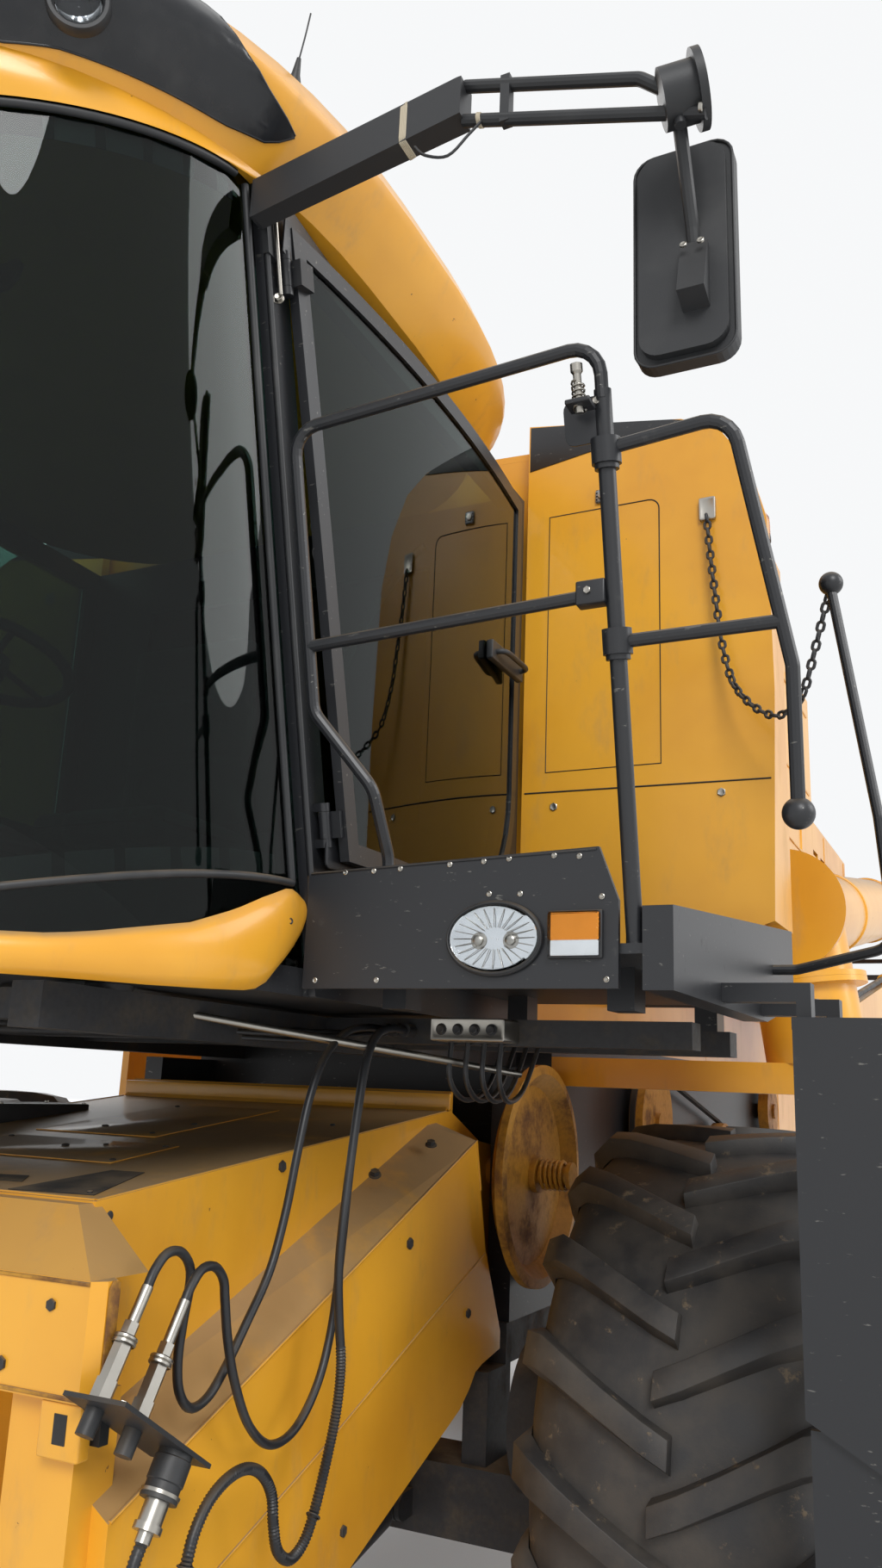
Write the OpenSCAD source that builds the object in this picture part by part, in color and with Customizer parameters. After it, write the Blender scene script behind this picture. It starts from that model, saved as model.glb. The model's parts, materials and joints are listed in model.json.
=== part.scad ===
/* [Wheels] */
// Distance from the front axle to the rear axle
wheelbase = 3750; // [3600:10:3900]
// Distance from the platform's front face back to the front axle
front_axle_y = 1530; // [1500:10:1560]
// Radius of a front tyre to the tips of its lugs
front_tyre_r = 870; // [850:5:890]
// Width of a front tyre
front_tyre_w = 740; // [700:10:760]
// Distance from the middle of the machine to the middle of a front tyre
front_tyre_x = 1520; // [1510:5:1540]
// Radius of a front rim where the tyre sits
front_rim_r = 406; // [390:2:420]
// Radius of a rear tyre to the tips of its lugs
rear_tyre_r = 590; // [570:5:600]
// Width of a rear tyre
rear_tyre_w = 480; // [440:10:490]
// Distance from the middle of the machine to the middle of a rear tyre
rear_tyre_x = 1350; // [1345:5:1380]
// Radius of a rear rim where the tyre sits
rear_rim_r = 262; // [255:1:280]
// Height of a lug above the carcass of its tyre
lug_h = 42; // [30:2:50]
// Distance from the middle of the machine to a steering kingpin
kingpin_x = 1050; // [1045:1:1056]

/* [Frame and threshing body] */
// Outer half width of the threshing body and of the frame rails
body_half = 780; // [770:2:790]
// Width of a frame rail, and the thickness of the body's front side plates
rail_w = 80; // [60:5:90]
// Height of the underside of the frame rails
rail_z = 980; // [960:5:1000]
// Height of a frame rail
rail_h = 120; // [100:5:130]
// Top of the threshing body
body_top = 2000; // [1980:5:2020]
// Front face of the threshing body
body_front = 1950; // [1940:5:1980]
// Rear face of the threshing body
body_rear = 6250; // [6200:10:6300]

/* [Feeder house] */
// Distance from the platform's front face back to the feeder's pivot
feeder_pivot_y = 1700; // [1690:5:1710]
// Height of the feeder's pivot
feeder_pivot_z = 1550; // [1540:5:1560]
// Half width of the feeder house
feeder_half = 660; // [640:5:670]
// Radius of the feeder's trunnions
trunnion_r = 45; // [40:1:50]
// Radius of the big dished drive pulley on the left
dish_pulley_r = 355; // [330:5:370]

/* [Cab] */
// Outer face of the cab's side walls
cab_side = 932; // [920:2:940]
// Thickness of the cab's walls and pillars
cab_wall = 45; // [35:5:55]
// Underside of the cab floor
cab_floor_z = 2000; // [2000:5:2010]
// Thickness of the cab floor
cab_floor_t = 60; // [50:5:70]
// Underside of the cab roof
cab_top = 3760; // [3740:5:3780]
// Outer face of the cab's rear wall
cab_rear = 1200; // [1190:5:1210]
// Forward lean of the front pillars, in millimetres per metre of height
pillar_lean = 262; // [240:2:280]
// How far the door glass bulges outwards
door_bulge = 45; // [30:5:60]
// Radius of the door's rounded lower rear corner
door_corner = 400; // [350:10:450]
// Half width of the cab roof
roof_half = 1100; // [1080:5:1120]
// Height of the roof above the cab's walls
roof_h = 320; // [280:10:340]

/* [Platforms] */
// Outer edge of a platform's front panel
platform_half = 1643; // [1620:5:1660]
// Outer face of a platform's side skirt
skirt_half = 1750; // [1740:5:1760]
// Walking surface of the platforms
deck_z = 2100; // [2090:5:2110]
// Top of a platform's front panel
panel_top = 2275; // [2260:5:2285]
// Underside of a platform's front panel
panel_bottom = 2013; // [2010:1:2020]
// Diameter of the handrail tubes
rail_d = 27; // [24:1:32]

/* [Grain tank and rear] */
// Half width of the grain tank
tank_half = 1380; // [1350:5:1400]
// Front wall of the grain tank
tank_front = 1300; // [1290:5:1320]
// Rear wall of the grain tank
tank_rear = 4300; // [4250:10:4340]
// Top edge of the grain tank
tank_top = 3950; // [3900:10:3970]
// Thickness of the tank's and the hood's walls
sheet_t = 25; // [20:1:30]
// Half width of the engine hood
hood_half = 1300; // [1260:10:1320]
// Rear end of the straw hood
straw_rear = 7750; // [7700:10:7800]
// Outer face of the side panels
panel_half = 1720; // [1710:5:1730]
// Lower edge of the side panels
side_panel_z = 1250; // [1230:5:1280]

/* [Unloading auger] */
// Radius of the unloading tube
auger_r = 170; // [150:5:180]
// Distance from the middle of the machine to the tube's base
auger_x = 1620; // [1610:5:1630]
// Distance from the platform's front face back to the tube's base
auger_y = 2100; // [2090:5:2110]
// Height of the tube's axis at its base
auger_z = 2450; // [2440:5:2470]
// Length of the unloading tube
auger_length = 5900; // [5600:50:6000]
// Rise of the stowed tube towards the rear, in degrees
auger_rise = 9; // [8:0.5:10]
// Inward tilt of the tube's turning axis, in degrees
auger_tilt = 8; // [6:0.5:10]

/* [Hidden] */
$fn = 48;
fine = 256;
fit = 0.3;
run = 6;
rear_axle_y = front_axle_y + wheelbase;
rail_top = rail_z + rail_h;
straw_front = body_rear;
spreader_rear = straw_rear + 450;
mirror_reach = 1945;
ladder_reach = 2110;
roof_front = -1250;
origin_x = (ladder_reach - mirror_reach) / 2;
origin_y = (spreader_rear + roof_front) / 2;

// A block between two opposite corners
module block(lo, hi) translate(lo) cube(hi - lo);

// Two blocks, one on each side of the machine
module pair(lo, hi) sides() block(lo, hi);

// The children on the left, and mirrored on the right
module sides() {
    children();
    mirror([1, 0, 0]) children();
}

// The children on the left for 1, and mirrored to the right for -1
module on_side(s) {
    if (s > 0) children();
    else mirror([1, 0, 0]) children();
}

// A side profile in Y and Z, as wide as the stretch of X
module side_profile(x0, x1) translate([x0, 0, 0]) rotate([90, 0, 90]) linear_extrude(x1 - x0) children();

// A front profile in X and Z, as long as the stretch of Y
module front_profile(y0, y1) translate([0, y1, 0]) rotate([90, 0, 0]) linear_extrude(y1 - y0) children();

// A plan in X and Y, as high as the stretch of Z
module plan(z0, z1) translate([0, 0, z0]) linear_extrude(z1 - z0) children();

// A cylinder along X
module disc_x(x0, x1, y, z, r) translate([x0, y, z]) rotate([0, 90, 0]) cylinder(r = r, h = x1 - x0);

function unit(v) = v / norm(v);
function arc(cy, cz, ry, rz, a0, a1, n) =
    [for (i = [0:n]) let (a = a0 + (a1 - a0) * i / n) [cy + ry * cos(a), cz + rz * sin(a)]];

// A round bar from one point to another
module bar(a, b, d) {
    v = b - a;
    translate(a) rotate([0, acos(v.z / norm(v)), atan2(v.y, v.x)]) cylinder(d = d, h = norm(v));
}

// The points of a round corner of radius r at p, between the points before and after it
function corner(a, p, b, r, steps) = let (u = unit(p - a), w = unit(b - p), turn = acos(u * w),
    m = unit(w - u * (u * w)), c = p - u * (r * tan(turn / 2)) + m * r)
    [for (k = [0:steps]) c + r * (u * sin(turn * k / steps) - m * cos(turn * k / steps))];

// The route of a bent tube: its points, with a round corner at each that is not an end
function route(pts, r, steps = 5) = concat([pts[0]],
    len(pts) > 2 ? [for (i = [1:len(pts) - 2]) each corner(pts[i - 1], pts[i], pts[i + 1], r, steps)] : [],
    [pts[len(pts) - 1]]);

function heading(path, i) = unit((i > 0 ? unit(path[i] - path[i - 1]) : [0, 0, 0])
    + (i < len(path) - 1 ? unit(path[i + 1] - path[i]) : [0, 0, 0]));
function square_to(v, t) = unit(v - t * (v * t));

// A direction square to the path at each point, carried along it without twist
function normals(path, i = 0, last = undef) = i >= len(path) ? [] :
    let (t = heading(path, i), n = is_undef(last) ? square_to(abs(t.z) < 0.9 ? [0, 0, 1] : [1, 0, 0], t) : square_to(last, t))
    concat([n], normals(path, i + 1, n));

// A round tube of diameter d swept along a path
module sweep(path, d, sides = 12) {
    ns = normals(path);
    last = len(path) - 1;
    polyhedron([for (i = [0:last], k = [0:sides - 1]) let (t = heading(path, i), a = 360 * k / sides)
            path[i] + d / 2 * (ns[i] * cos(a) + cross(t, ns[i]) * sin(a))],
        concat([[for (k = [0:sides - 1]) k]],
            [for (i = [0:last - 1], k = [0:sides - 1]) let (a = i * sides, j = (k + 1) % sides)
                each [[a + k, a + sides + k, a + sides + j], [a + k, a + sides + j, a + j]]],
            [[for (k = [sides - 1:-1:0]) last * sides + k]]));
}

// A bent tube through the points, with round corners
module pipe(pts, d, r, steps = 5) sweep(route(pts, r, steps), d);

hinge_pin_r = 8;
hinge_ear_r = 14;
hinge_half = 30;
hinge_ear_t = 19;

// The pins and ears of a hinge along local Z, with leaves that span the block from lo to hi in local X and Y
module hinge_ears(places, lo, hi) for (z = places) translate([0, 0, z]) {
    cylinder(r = hinge_pin_r, h = 2 * (hinge_half + hinge_ear_t + 1), center = true);
    for (e = [-hinge_half - 1 - hinge_ear_t, hinge_half + 1]) translate([0, 0, e]) {
        cylinder(r = hinge_ear_r, h = hinge_ear_t);
        block([lo[0], lo[1], 0], [hi[0], hi[1], hinge_ear_t]);
    }
}

// The barrels of the moving leaf of the same hinge, still without their bores
module hinge_barrels(places, lo, hi) for (z = places) translate([0, 0, z]) {
    cylinder(r = hinge_ear_r, h = 2 * hinge_half, center = true);
    block([lo[0], lo[1], -hinge_half], [hi[0], hi[1], hinge_half]);
}
module hinge_bores(places) for (z = places)
    translate([0, 0, z]) cylinder(r = hinge_pin_r + fit, h = 2 * hinge_half + 2, center = true);

// Wheels

// A solid of flat faces round the Z axis, from a closed profile of radius and height
module faceted_ring(profile, sides) {
    n = len(profile);
    polyhedron([for (i = [0:sides - 1], p = profile) [p[0] * cos(360 * i / sides), p[0] * sin(360 * i / sides), p[1]]],
        [for (i = [0:sides - 1], k = [0:n - 1]) let (a = i * n, b = (i + 1) % sides * n, j = (k + 1) % n)
            each [[a + j, b + j, a + k], [b + j, b + k, a + k]]]);
}

// A tyre on its own axis, with slanting lugs on both halves. To keep it light, its carcass has a side for each lug.
module tyre(r, w, rim_r, lugs, lug_w) {
    carcass_r = r - lug_h;
    half = w / 2;
    reach = (0.28 * w + lug_w) / 2;
    tip = sqrt(r * r - reach * reach);
    wall = carcass_r - rim_r;
    seat = (rim_r + fit) / cos(180 / lugs);
    heel = (rim_r + 28) / cos(180 / lugs);
    bead = 0.42 * w - fit;
    root = carcass_r - 0.2 * wall;
    color([0.10, 0.10, 0.11]) rotate([0, 0, atan(reach / tip)]) union() {
        faceted_ring([[seat, -bead], [heel, -bead], [rim_r + 0.45 * wall, -half], [carcass_r - 0.16 * wall, -half + 15],
            [carcass_r, -0.3 * w], [carcass_r, 0.3 * w], [carcass_r - 0.16 * wall, half - 15],
            [rim_r + 0.45 * wall, half], [heel, bead], [seat, bead]], lugs);
        for (i = [0:lugs - 1], s = [0, 1])
            rotate([0, 0, (i + s / 2) * 360 / lugs]) mirror([0, 0, s])
                translate([root, 0, 0]) rotate([90, 0, 90]) linear_extrude(tip - root)
                    polygon([[-reach, -0.03 * w], [-reach + lug_w, -0.03 * w], [reach, half - 6], [reach - lug_w, half - 6]]);
    }
}

// A dished rim on its own axis: the hub reaches in to the axle, and its bore runs on the spindle
module rim(rim_r, w, disc_z, hub_in, hub_r, spindle_r, spindle_end) {
    color([0.86, 0.62, 0.10]) rotate_extrude() polygon([
        [spindle_r + fit, hub_in], [hub_r, hub_in], [hub_r, disc_z - 20], [hub_r * 1.7, disc_z],
        [rim_r - 60, disc_z + 10], [rim_r - 16, disc_z - 40], [rim_r - 16, -0.40 * w], [rim_r + 18, -0.45 * w],
        [rim_r + 26, -0.45 * w], [rim_r + 26, -0.42 * w], [rim_r, -0.42 * w], [rim_r, 0.42 * w],
        [rim_r + 26, 0.42 * w], [rim_r + 26, 0.45 * w], [rim_r + 18, 0.45 * w], [rim_r - 16, 0.40 * w],
        [rim_r - 16, disc_z - 5], [rim_r - 60, disc_z + 35], [hub_r * 1.7, disc_z + 25], [hub_r, disc_z + 45],
        [0, disc_z + 45], [0, spindle_end + run], [spindle_r + fit, spindle_end + run]]);
}

spindle_r = 60;
spindle_end_x = front_tyre_x - 190;
drive_face_x = front_tyre_x - 460;
front_disc_z = -100;
front_lugs = 20;
rear_lugs = 15;

// The children on a front wheel's axis, outboard along +Z of the wheel
module at_front_wheel(s) on_side(s) translate([front_tyre_x, front_axle_y, front_tyre_r]) rotate([0, 90, 0]) children();

module front_tyre(s) at_front_wheel(s) tyre(front_tyre_r, front_tyre_w, front_rim_r, front_lugs, 72);

module front_rim(s) at_front_wheel(s) rim(front_rim_r, front_tyre_w, front_disc_z, drive_face_x + run - front_tyre_x,
    110, spindle_r, spindle_end_x - front_tyre_x);

rear_spindle_r = 40;
rear_spindle_end_x = rear_tyre_x + 10;
knuckle_web = 50;
knuckle_web_x = kingpin_x + 85;
rear_disc_z = 50;

module at_rear_wheel(s) on_side(s) translate([rear_tyre_x, rear_axle_y, rear_tyre_r]) rotate([0, 90, 0]) children();

module rear_tyre(s) at_rear_wheel(s) tyre(rear_tyre_r, rear_tyre_w, rear_rim_r, rear_lugs, 52);

module rear_rim(s) at_rear_wheel(s) rim(rear_rim_r, rear_tyre_w, rear_disc_z,
    knuckle_web_x + knuckle_web + run - rear_tyre_x, 80, rear_spindle_r, rear_spindle_end_x - rear_tyre_x);

// Axles and steering

beam_z = 520;
beam_h = 200;
beam_half_y = 120;
lift_x = 500;
lift_pin_y = front_axle_y - 175;
lift_pin_z = 600;
lift_pin_r = 20;
lift_eye_y = 350;
lift_eye_z = 410;
lift_bore_r = 48;
lift_rod_r = 32;
lift_eye_bore = 31;
lift_eye_pin = 13;
ear_gap = 40;
ear_t = 16;

module front_axle() color([0.16, 0.16, 0.17]) {
    union() {
        block([-drive_face_x + 80, front_axle_y - beam_half_y, beam_z],
            [drive_face_x - 80, front_axle_y + beam_half_y, beam_z + beam_h]);
        sides() {
            block([drive_face_x - 160, front_axle_y - beam_half_y, beam_z],
                [drive_face_x - 40, front_axle_y + beam_half_y, front_tyre_r]);
            disc_x(drive_face_x - 160, drive_face_x, front_axle_y, front_tyre_r, 225);
            disc_x(drive_face_x - 1, spindle_end_x, front_axle_y, front_tyre_r, spindle_r);
            block([body_half - rail_w, front_axle_y - 90, beam_z + beam_h - 1],
                [body_half, front_axle_y + 90, rail_z]);
            for (side = [-1, 1])
                translate([lift_x + side * (ear_gap + ear_t / 2) - ear_t / 2, 0, 0])
                    side_profile(0, ear_t) union() {
                        translate([lift_pin_y, lift_pin_z]) circle(r = 38);
                        translate([lift_pin_y, lift_pin_z - 38]) square([front_axle_y - beam_half_y - lift_pin_y + 1, 76]);
                    }
            disc_x(lift_x - ear_gap - ear_t, lift_x + ear_gap + ear_t, lift_pin_y, lift_pin_z, lift_pin_r);
        }
        block([-150, front_axle_y + beam_half_y - 1, beam_z - 40], [280, front_axle_y + 430, beam_z + beam_h + 60]);
    }
}

// The cylinder's line, from the pin on the axle to the eye under the feeder
lift_length = norm([lift_eye_y - lift_pin_y, lift_eye_z - lift_pin_z]);
lift_slope = atan((lift_pin_z - lift_eye_z) / (lift_pin_y - lift_eye_y));

// The children along the cylinder's line, with +X forwards along it, on both sides
module at_lift() sides() translate([lift_x, lift_pin_y, lift_pin_z]) rotate([lift_slope, 0, 0]) rotate([0, 0, -90]) children();

module lift_barrels() color([0.16, 0.16, 0.17]) at_lift() difference() {
    union() {
        translate([0, -ear_gap + 2, 0]) rotate([-90, 0, 0]) cylinder(r = 40, h = 2 * ear_gap - 4);
        translate([20, 0, 0]) rotate([0, 90, 0]) cylinder(r = 34, h = 50);
        translate([62, 0, 0]) rotate([0, 90, 0]) cylinder(r = lift_bore_r, h = lift_length * 0.62 - 62);
    }
    translate([0, -ear_gap - 1, 0]) rotate([-90, 0, 0]) cylinder(r = lift_pin_r + fit, h = 2 * ear_gap + 2);
    translate([90, 0, 0]) rotate([0, 90, 0]) cylinder(r = lift_rod_r + fit, h = lift_length);
}

// The eye is wide, because it travels round its pin as the cylinder lifts
module lift_rods() color([0.75, 0.76, 0.78]) at_lift() difference() {
    union() {
        translate([200, 0, 0]) rotate([0, 90, 0]) cylinder(r = lift_rod_r, h = lift_length - 235);
        translate([lift_length, -ear_gap + 6, 0]) rotate([-90, 0, 0]) cylinder(r = 44, h = 2 * ear_gap - 12);
    }
    translate([lift_length, -ear_gap - 1, 0]) rotate([-90, 0, 0]) cylinder(r = lift_eye_bore, h = 2 * ear_gap + 2);
}

rear_beam_half = 80;
barrel_r = 62;
barrel_half_h = 94;
kingpin_r = 30;
fork_t = 30;
rod_y = rear_axle_y + 220;
rod_r = 22;
arm_z = rear_tyre_r - barrel_half_h - run - fork_t;
rod_z = arm_z + fork_t + 58;

module rear_axle() color([0.16, 0.16, 0.17]) difference() {
    union() {
        block([-kingpin_x + 50, rear_axle_y - rear_beam_half, rear_tyre_r - barrel_half_h],
            [kingpin_x - 50, rear_axle_y + rear_beam_half, rear_tyre_r + barrel_half_h]);
        sides() {
            translate([kingpin_x, rear_axle_y, rear_tyre_r - barrel_half_h]) cylinder(r = barrel_r, h = 2 * barrel_half_h);
            block([180, rear_axle_y + rear_beam_half - 1, rod_z - 40], [220, rod_y, rod_z + 40]);
        }
        disc_x(-260, 260, rod_y, rod_z, 46);
    }
    sides() translate([kingpin_x, rear_axle_y, 0]) cylinder(r = kingpin_r + fit, h = rail_z);
    disc_x(-300, 300, rod_y, rod_z, rod_r + fit);
}

module knuckle(s) color([0.16, 0.16, 0.17]) on_side(s) translate([kingpin_x, rear_axle_y, rear_tyre_r]) union() {
    translate([0, 0, -barrel_half_h - run - fork_t]) cylinder(r = kingpin_r, h = 2 * (barrel_half_h + run + fork_t));
    for (z = [-barrel_half_h - run - fork_t, barrel_half_h + run])
        block([-60, -70, z], [85 + knuckle_web, 70, z + fork_t]);
    block([85, -70, -barrel_half_h - run - 1], [85 + knuckle_web, 70, barrel_half_h + run + 1]);
    translate([85, 0, 0]) rotate([0, 90, 0]) cylinder(r = rear_spindle_r, h = rear_spindle_end_x - kingpin_x - 85);
    block([-55, 60, -barrel_half_h - run - fork_t], [15, 255, -barrel_half_h - run]);
}

module steering_rod() color([0.75, 0.76, 0.78]) union() {
    disc_x(-kingpin_x + 20, kingpin_x - 20, rod_y, rod_z, rod_r);
    sides() translate([kingpin_x - 20, rod_y, arm_z + fork_t + 0.4]) cylinder(r = 36, h = 92);
}

// Frame and body

rail_front = 1580;
rail_rear = rear_axle_y + 1620;
hitch_y = rail_rear + 90;

module chassis_frame() color([0.16, 0.16, 0.17]) union() {
    pair([body_half - rail_w, rail_front, rail_z], [body_half, rail_rear, rail_top]);
    for (y = [3400, rear_axle_y - rear_beam_half, rail_rear - 120])
        block([-body_half + rail_w - 1, y, rail_z], [body_half - rail_w + 1, y + 120, rail_top]);
    block([-130, rear_axle_y - rear_beam_half, rear_tyre_r + barrel_half_h], [130, rear_axle_y + rear_beam_half, rail_z + 1]);
    difference() {
        block([-90, rail_rear - 1, rail_z - 60], [90, rail_rear + 150, rail_z + 20]);
        translate([0, hitch_y, rail_z - 61]) cylinder(r = 16, h = 100);
    }
    pair([560, -450, 1900], [640, body_front, cab_beam_top]);
    block([-640, -300, cab_beam_z], [640, -220, cab_beam_top]);
    for (y = platform_beams) block([-platform_half + 10, y, cab_beam_z], [platform_half - 10, y + 80, cab_beam_top]);
    sides() for (y = cab_mounts) translate([600, y, cab_beam_top]) cylinder(r = 50, h = cab_floor_z - cab_beam_top);
    for (x = hose_x) translate([x, platform_beams[0] - gland_l, hose_z]) rotate([-90, 0, 0]) cylinder(r = 17, h = gland_l);
}
cab_mounts = [-220, 1060];
cab_beam_z = 1925;
cab_beam_top = 1989;
platform_beams = [600, 1000];

module threshing_housing() color([0.20, 0.20, 0.21]) {
    block([-body_half, body_front, rail_top], [body_half, body_rear, body_top]);
    sides() difference() {
        block([body_half - rail_w, 1600, rail_top], [body_half, body_front, body_top - 110]);
        disc_x(0, body_half + 1, feeder_pivot_y, feeder_pivot_z, trunnion_r + fit);
    }
}

beacon_x = 1600;
beacon_y = 1700;
beacon_z = 3715;

module corner_panels() color([0.86, 0.62, 0.10]) sides() {
    block([beacon_x - 40, 1254, beacon_z - 20], [beacon_x + 40, beacon_y + 70, beacon_z]);
    front_profile(1215, 1255) polygon([[940, deck_z + fit], [skirt_half - 60 - fit, deck_z + fit], [skirt_half - 60 - fit, 2300],
        [panel_half, 2310], [panel_half + 20, 3000], [panel_half + 12, 3560], [panel_half - 40, 3760],
        [panel_half - 130, 3900], [panel_half - 250, 3960], [940, 4050]]);
    block([panel_half - 40, 1254, 2310], [panel_half, 1500, 3500]);
}

tank_peak = 70;
cover_t = 25;
cover_hinges = [500, 1500, 2500];

// The children on a tank cover's hinge, with +Z rearwards along it and +X outwards
module at_cover_hinge() translate([tank_half + 16, tank_front, tank_top + 4]) rotate([-90, 0, 0]) children();

module grain_tank() color([0.86, 0.62, 0.10]) {
    difference() {
        front_profile(tank_front, tank_rear) polygon([[-tank_half, tank_top], [-tank_half, 2970], [-body_half, 2300],
            [-body_half, body_top], [body_half, body_top], [body_half, 2300], [tank_half, 2970], [tank_half, tank_top],
            [0, tank_top + tank_peak]]);
        front_profile(tank_front + sheet_t, tank_rear - sheet_t) polygon([[-tank_half + sheet_t, tank_top + 90],
            [-tank_half + sheet_t, 2985], [-450, 2150], [450, 2150], [tank_half - sheet_t, 2985],
            [tank_half - sheet_t, tank_top + 90]]);
    }
    sides() at_cover_hinge() hinge_ears(cover_hinges, [-17, 4.3], [4, 40]);
}

module tank_cover(s) color([0.86, 0.62, 0.10]) on_side(s) difference() {
    union() {
        front_profile(tank_front, tank_rear) polygon([[3, tank_top + tank_peak + fit],
            [3, tank_top + tank_peak + cover_t], [tank_half, tank_top + cover_t], [tank_half, tank_top + fit]]);
        at_cover_hinge() hinge_barrels(cover_hinges, [-60, -cover_t + 4], [0, 0]);
    }
    at_cover_hinge() hinge_bores(cover_hinges);
    block([0, tank_front - 1, tank_top - 60], [tank_half + 0.3, tank_rear + 1, tank_top]);
}

module engine() color([0.20, 0.20, 0.21]) union() {
    block([-420, 4560, body_top + 60], [420, 5900, 2960]);
    pair([300, 4600, body_top], [380, 5860, body_top + 61]);
}

screen_y = 5250;
screen_z = 2950;
screen_r = 430;

module engine_hood() color([0.86, 0.62, 0.10]) difference() {
    front_profile(tank_rear + 8, body_rear) polygon([[-hood_half, 3420], [-hood_half, 2500], [-body_half, 2300],
        [-body_half, body_top], [body_half, body_top], [body_half, 2300], [hood_half, 2500], [hood_half, 3420],
        [hood_half - 130, 3600], [-hood_half + 130, 3600]]);
    front_profile(tank_rear + 8 + sheet_t, body_rear - sheet_t) polygon([[-hood_half + sheet_t, 3410],
        [-hood_half + sheet_t, 2520], [-body_half + sheet_t, 2320], [-body_half + sheet_t, body_top - 1],
        [body_half - sheet_t, body_top - 1], [body_half - sheet_t, 2320], [hood_half - sheet_t, 2520],
        [hood_half - sheet_t, 3410], [hood_half - 130 - sheet_t / 2, 3600 - sheet_t],
        [-hood_half + 130 + sheet_t / 2, 3600 - sheet_t]]);
    disc_x(-hood_half - 1, -hood_half + sheet_t + 1, screen_y, screen_z, 40 + fit);
    for (y = hood_vents, k = [0:7]) block([hood_half - sheet_t - 1, y, 2660 + 80 * k], [hood_half + 1, y + 460, 2690 + 80 * k]);
}
hood_vents = [4560, 5120, 5680];

module rotary_screen() color([0.45, 0.46, 0.47]) union() {
    disc_x(-hood_half - 60, -hood_half - run, screen_y, screen_z, screen_r);
    disc_x(-hood_half - run - 1, -hood_half + 80, screen_y, screen_z, 40);
}

module exhaust_pipe() color([0.35, 0.33, 0.32])
    pipe([[850, 5600, 3600], [850, 5600, 3850], [850, 5850, 3990]], 130, 120);

// The straw hood slopes down to the rear from its top, and steps up over the chopper
straw_low = rail_top + 1;
straw_top = 2900;
straw_bend_y = 7100;
straw_bend_z = 2820;
straw_brow = [straw_rear - 60, 2350];
straw_edge_z = 2100;
chopper_front = straw_rear - 400;
chopper_top = 1500;

module straw_hood() color([0.86, 0.62, 0.10]) side_profile(-body_half, body_half) polygon([[straw_front, straw_low],
    [straw_front, straw_top], [straw_bend_y, straw_bend_z], straw_brow, [straw_rear, straw_edge_z],
    [straw_rear, chopper_top], [chopper_front, chopper_top], [chopper_front, straw_low]]);

// A ladder on the rear of the straw hood
rear_ladder_x = [220, 600];
module rear_ladder() color([0.13, 0.13, 0.14]) union() {
    for (x = rear_ladder_x) pipe([[x, straw_rear + fit, 1640], [x, straw_rear + 85, 1640], [x, straw_rear + 85, 2130],
        [x, straw_rear + 20, 2402], [x, straw_rear - 394, 2731], [x, straw_rear - 450, 2660.9]], rail_d, 50);
    for (r = [[85, 1760], [85, 1990], [53, 2264], [-65, 2470], [-225, 2597]])
        bar([rear_ladder_x[0], straw_rear + r[0], r[1]], [rear_ladder_x[1], straw_rear + r[0], r[1]], 24);
}

module rear_lamps() color([0.70, 0.06, 0.04]) sides() {
    block([660, straw_rear + fit, 1900], [760, straw_rear + 40, 2060]);
    translate([710, straw_rear + fit, 1840]) rotate([-90, 0, 0]) cylinder(r = 38, h = 30);
}

module straw_chopper() color([0.20, 0.20, 0.21]) {
    side_profile(-body_half, body_half) polygon([[chopper_front + fit, chopper_top - fit],
        [straw_rear - 20, chopper_top - fit], [straw_rear - 20, 1250], [straw_rear - 150, 1080],
        [chopper_front + fit, 1080]]);
    for (x = [-600:300:600])
        side_profile(x - 6, x + 6) polygon([[straw_rear - 19.7, 1490], [spreader_rear, 1330], [spreader_rear, 1230],
            [straw_rear - 19.7, 1255]]);
}

// Side panels on both sides, hinged along their upper edge, which rises like the unloading tube

panel_y0 = 2560;
panel_y1 = 6200;
panel_t = 40;
panel_x = panel_half - panel_t / 2;
panel_rail_z0 = 2170;
panel_rail_r = 14;
panel_rail_l = (panel_y1 - panel_y0) / cos(auger_rise);
panel_gap = 26;
panel_arms = [2640, 4380, 6120];
panel_hooks = [400, 1700, 3300];
function panel_rail_z(y) = panel_rail_z0 + (y - panel_y0) * tan(auger_rise);

// The children on the panels' hinge rail, with +Y along it
module at_panel_hinge() translate([panel_x, panel_y0, panel_rail_z0]) rotate([auger_rise, 0, 0]) children();

// The rails that carry the side panels, on arms from the tank and the engine hood
module panel_rails() color([0.16, 0.16, 0.17]) sides() union() {
    at_panel_hinge() rotate([-90, 0, 0]) cylinder(r = panel_rail_r, h = panel_rail_l);
    for (y = panel_arms) {
        z = panel_rail_z(y);
        root = y < tank_rear ? body_half : hood_half;
        block([root, y - 20, z - 12], [panel_x + 8, y + 20, z + 12]);
        block([root, y - 20, z - 12], [root + 12, y + 20, y < tank_rear ? z + 60 : max(z, 2500) + 150]);
    }
}

module side_panel(s) color([0.86, 0.62, 0.10]) on_side(s) difference() {
    union() {
        side_profile(panel_half - panel_t, panel_half) polygon([[panel_y0, side_panel_z + 250],
            [panel_y0, panel_rail_z(panel_y0) - panel_gap], [panel_y1, panel_rail_z(panel_y1) - panel_gap],
            [panel_y1, side_panel_z], [panel_y0 + 500, side_panel_z]]);
        at_panel_hinge() for (y = panel_hooks) {
            translate([0, y, 0]) rotate([-90, 0, 0]) cylinder(r = panel_rail_r + 9, h = 80);
            block([-10, y, -panel_gap - 8], [10, y + 80, 0]);
        }
    }
    at_panel_hinge() rotate([-90, 0, 0]) cylinder(r = panel_rail_r + fit, h = panel_rail_l);
}

// Unloading auger

auger_axis = [-sin(auger_tilt), 0, cos(auger_tilt)];
turret_below = 240;

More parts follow.
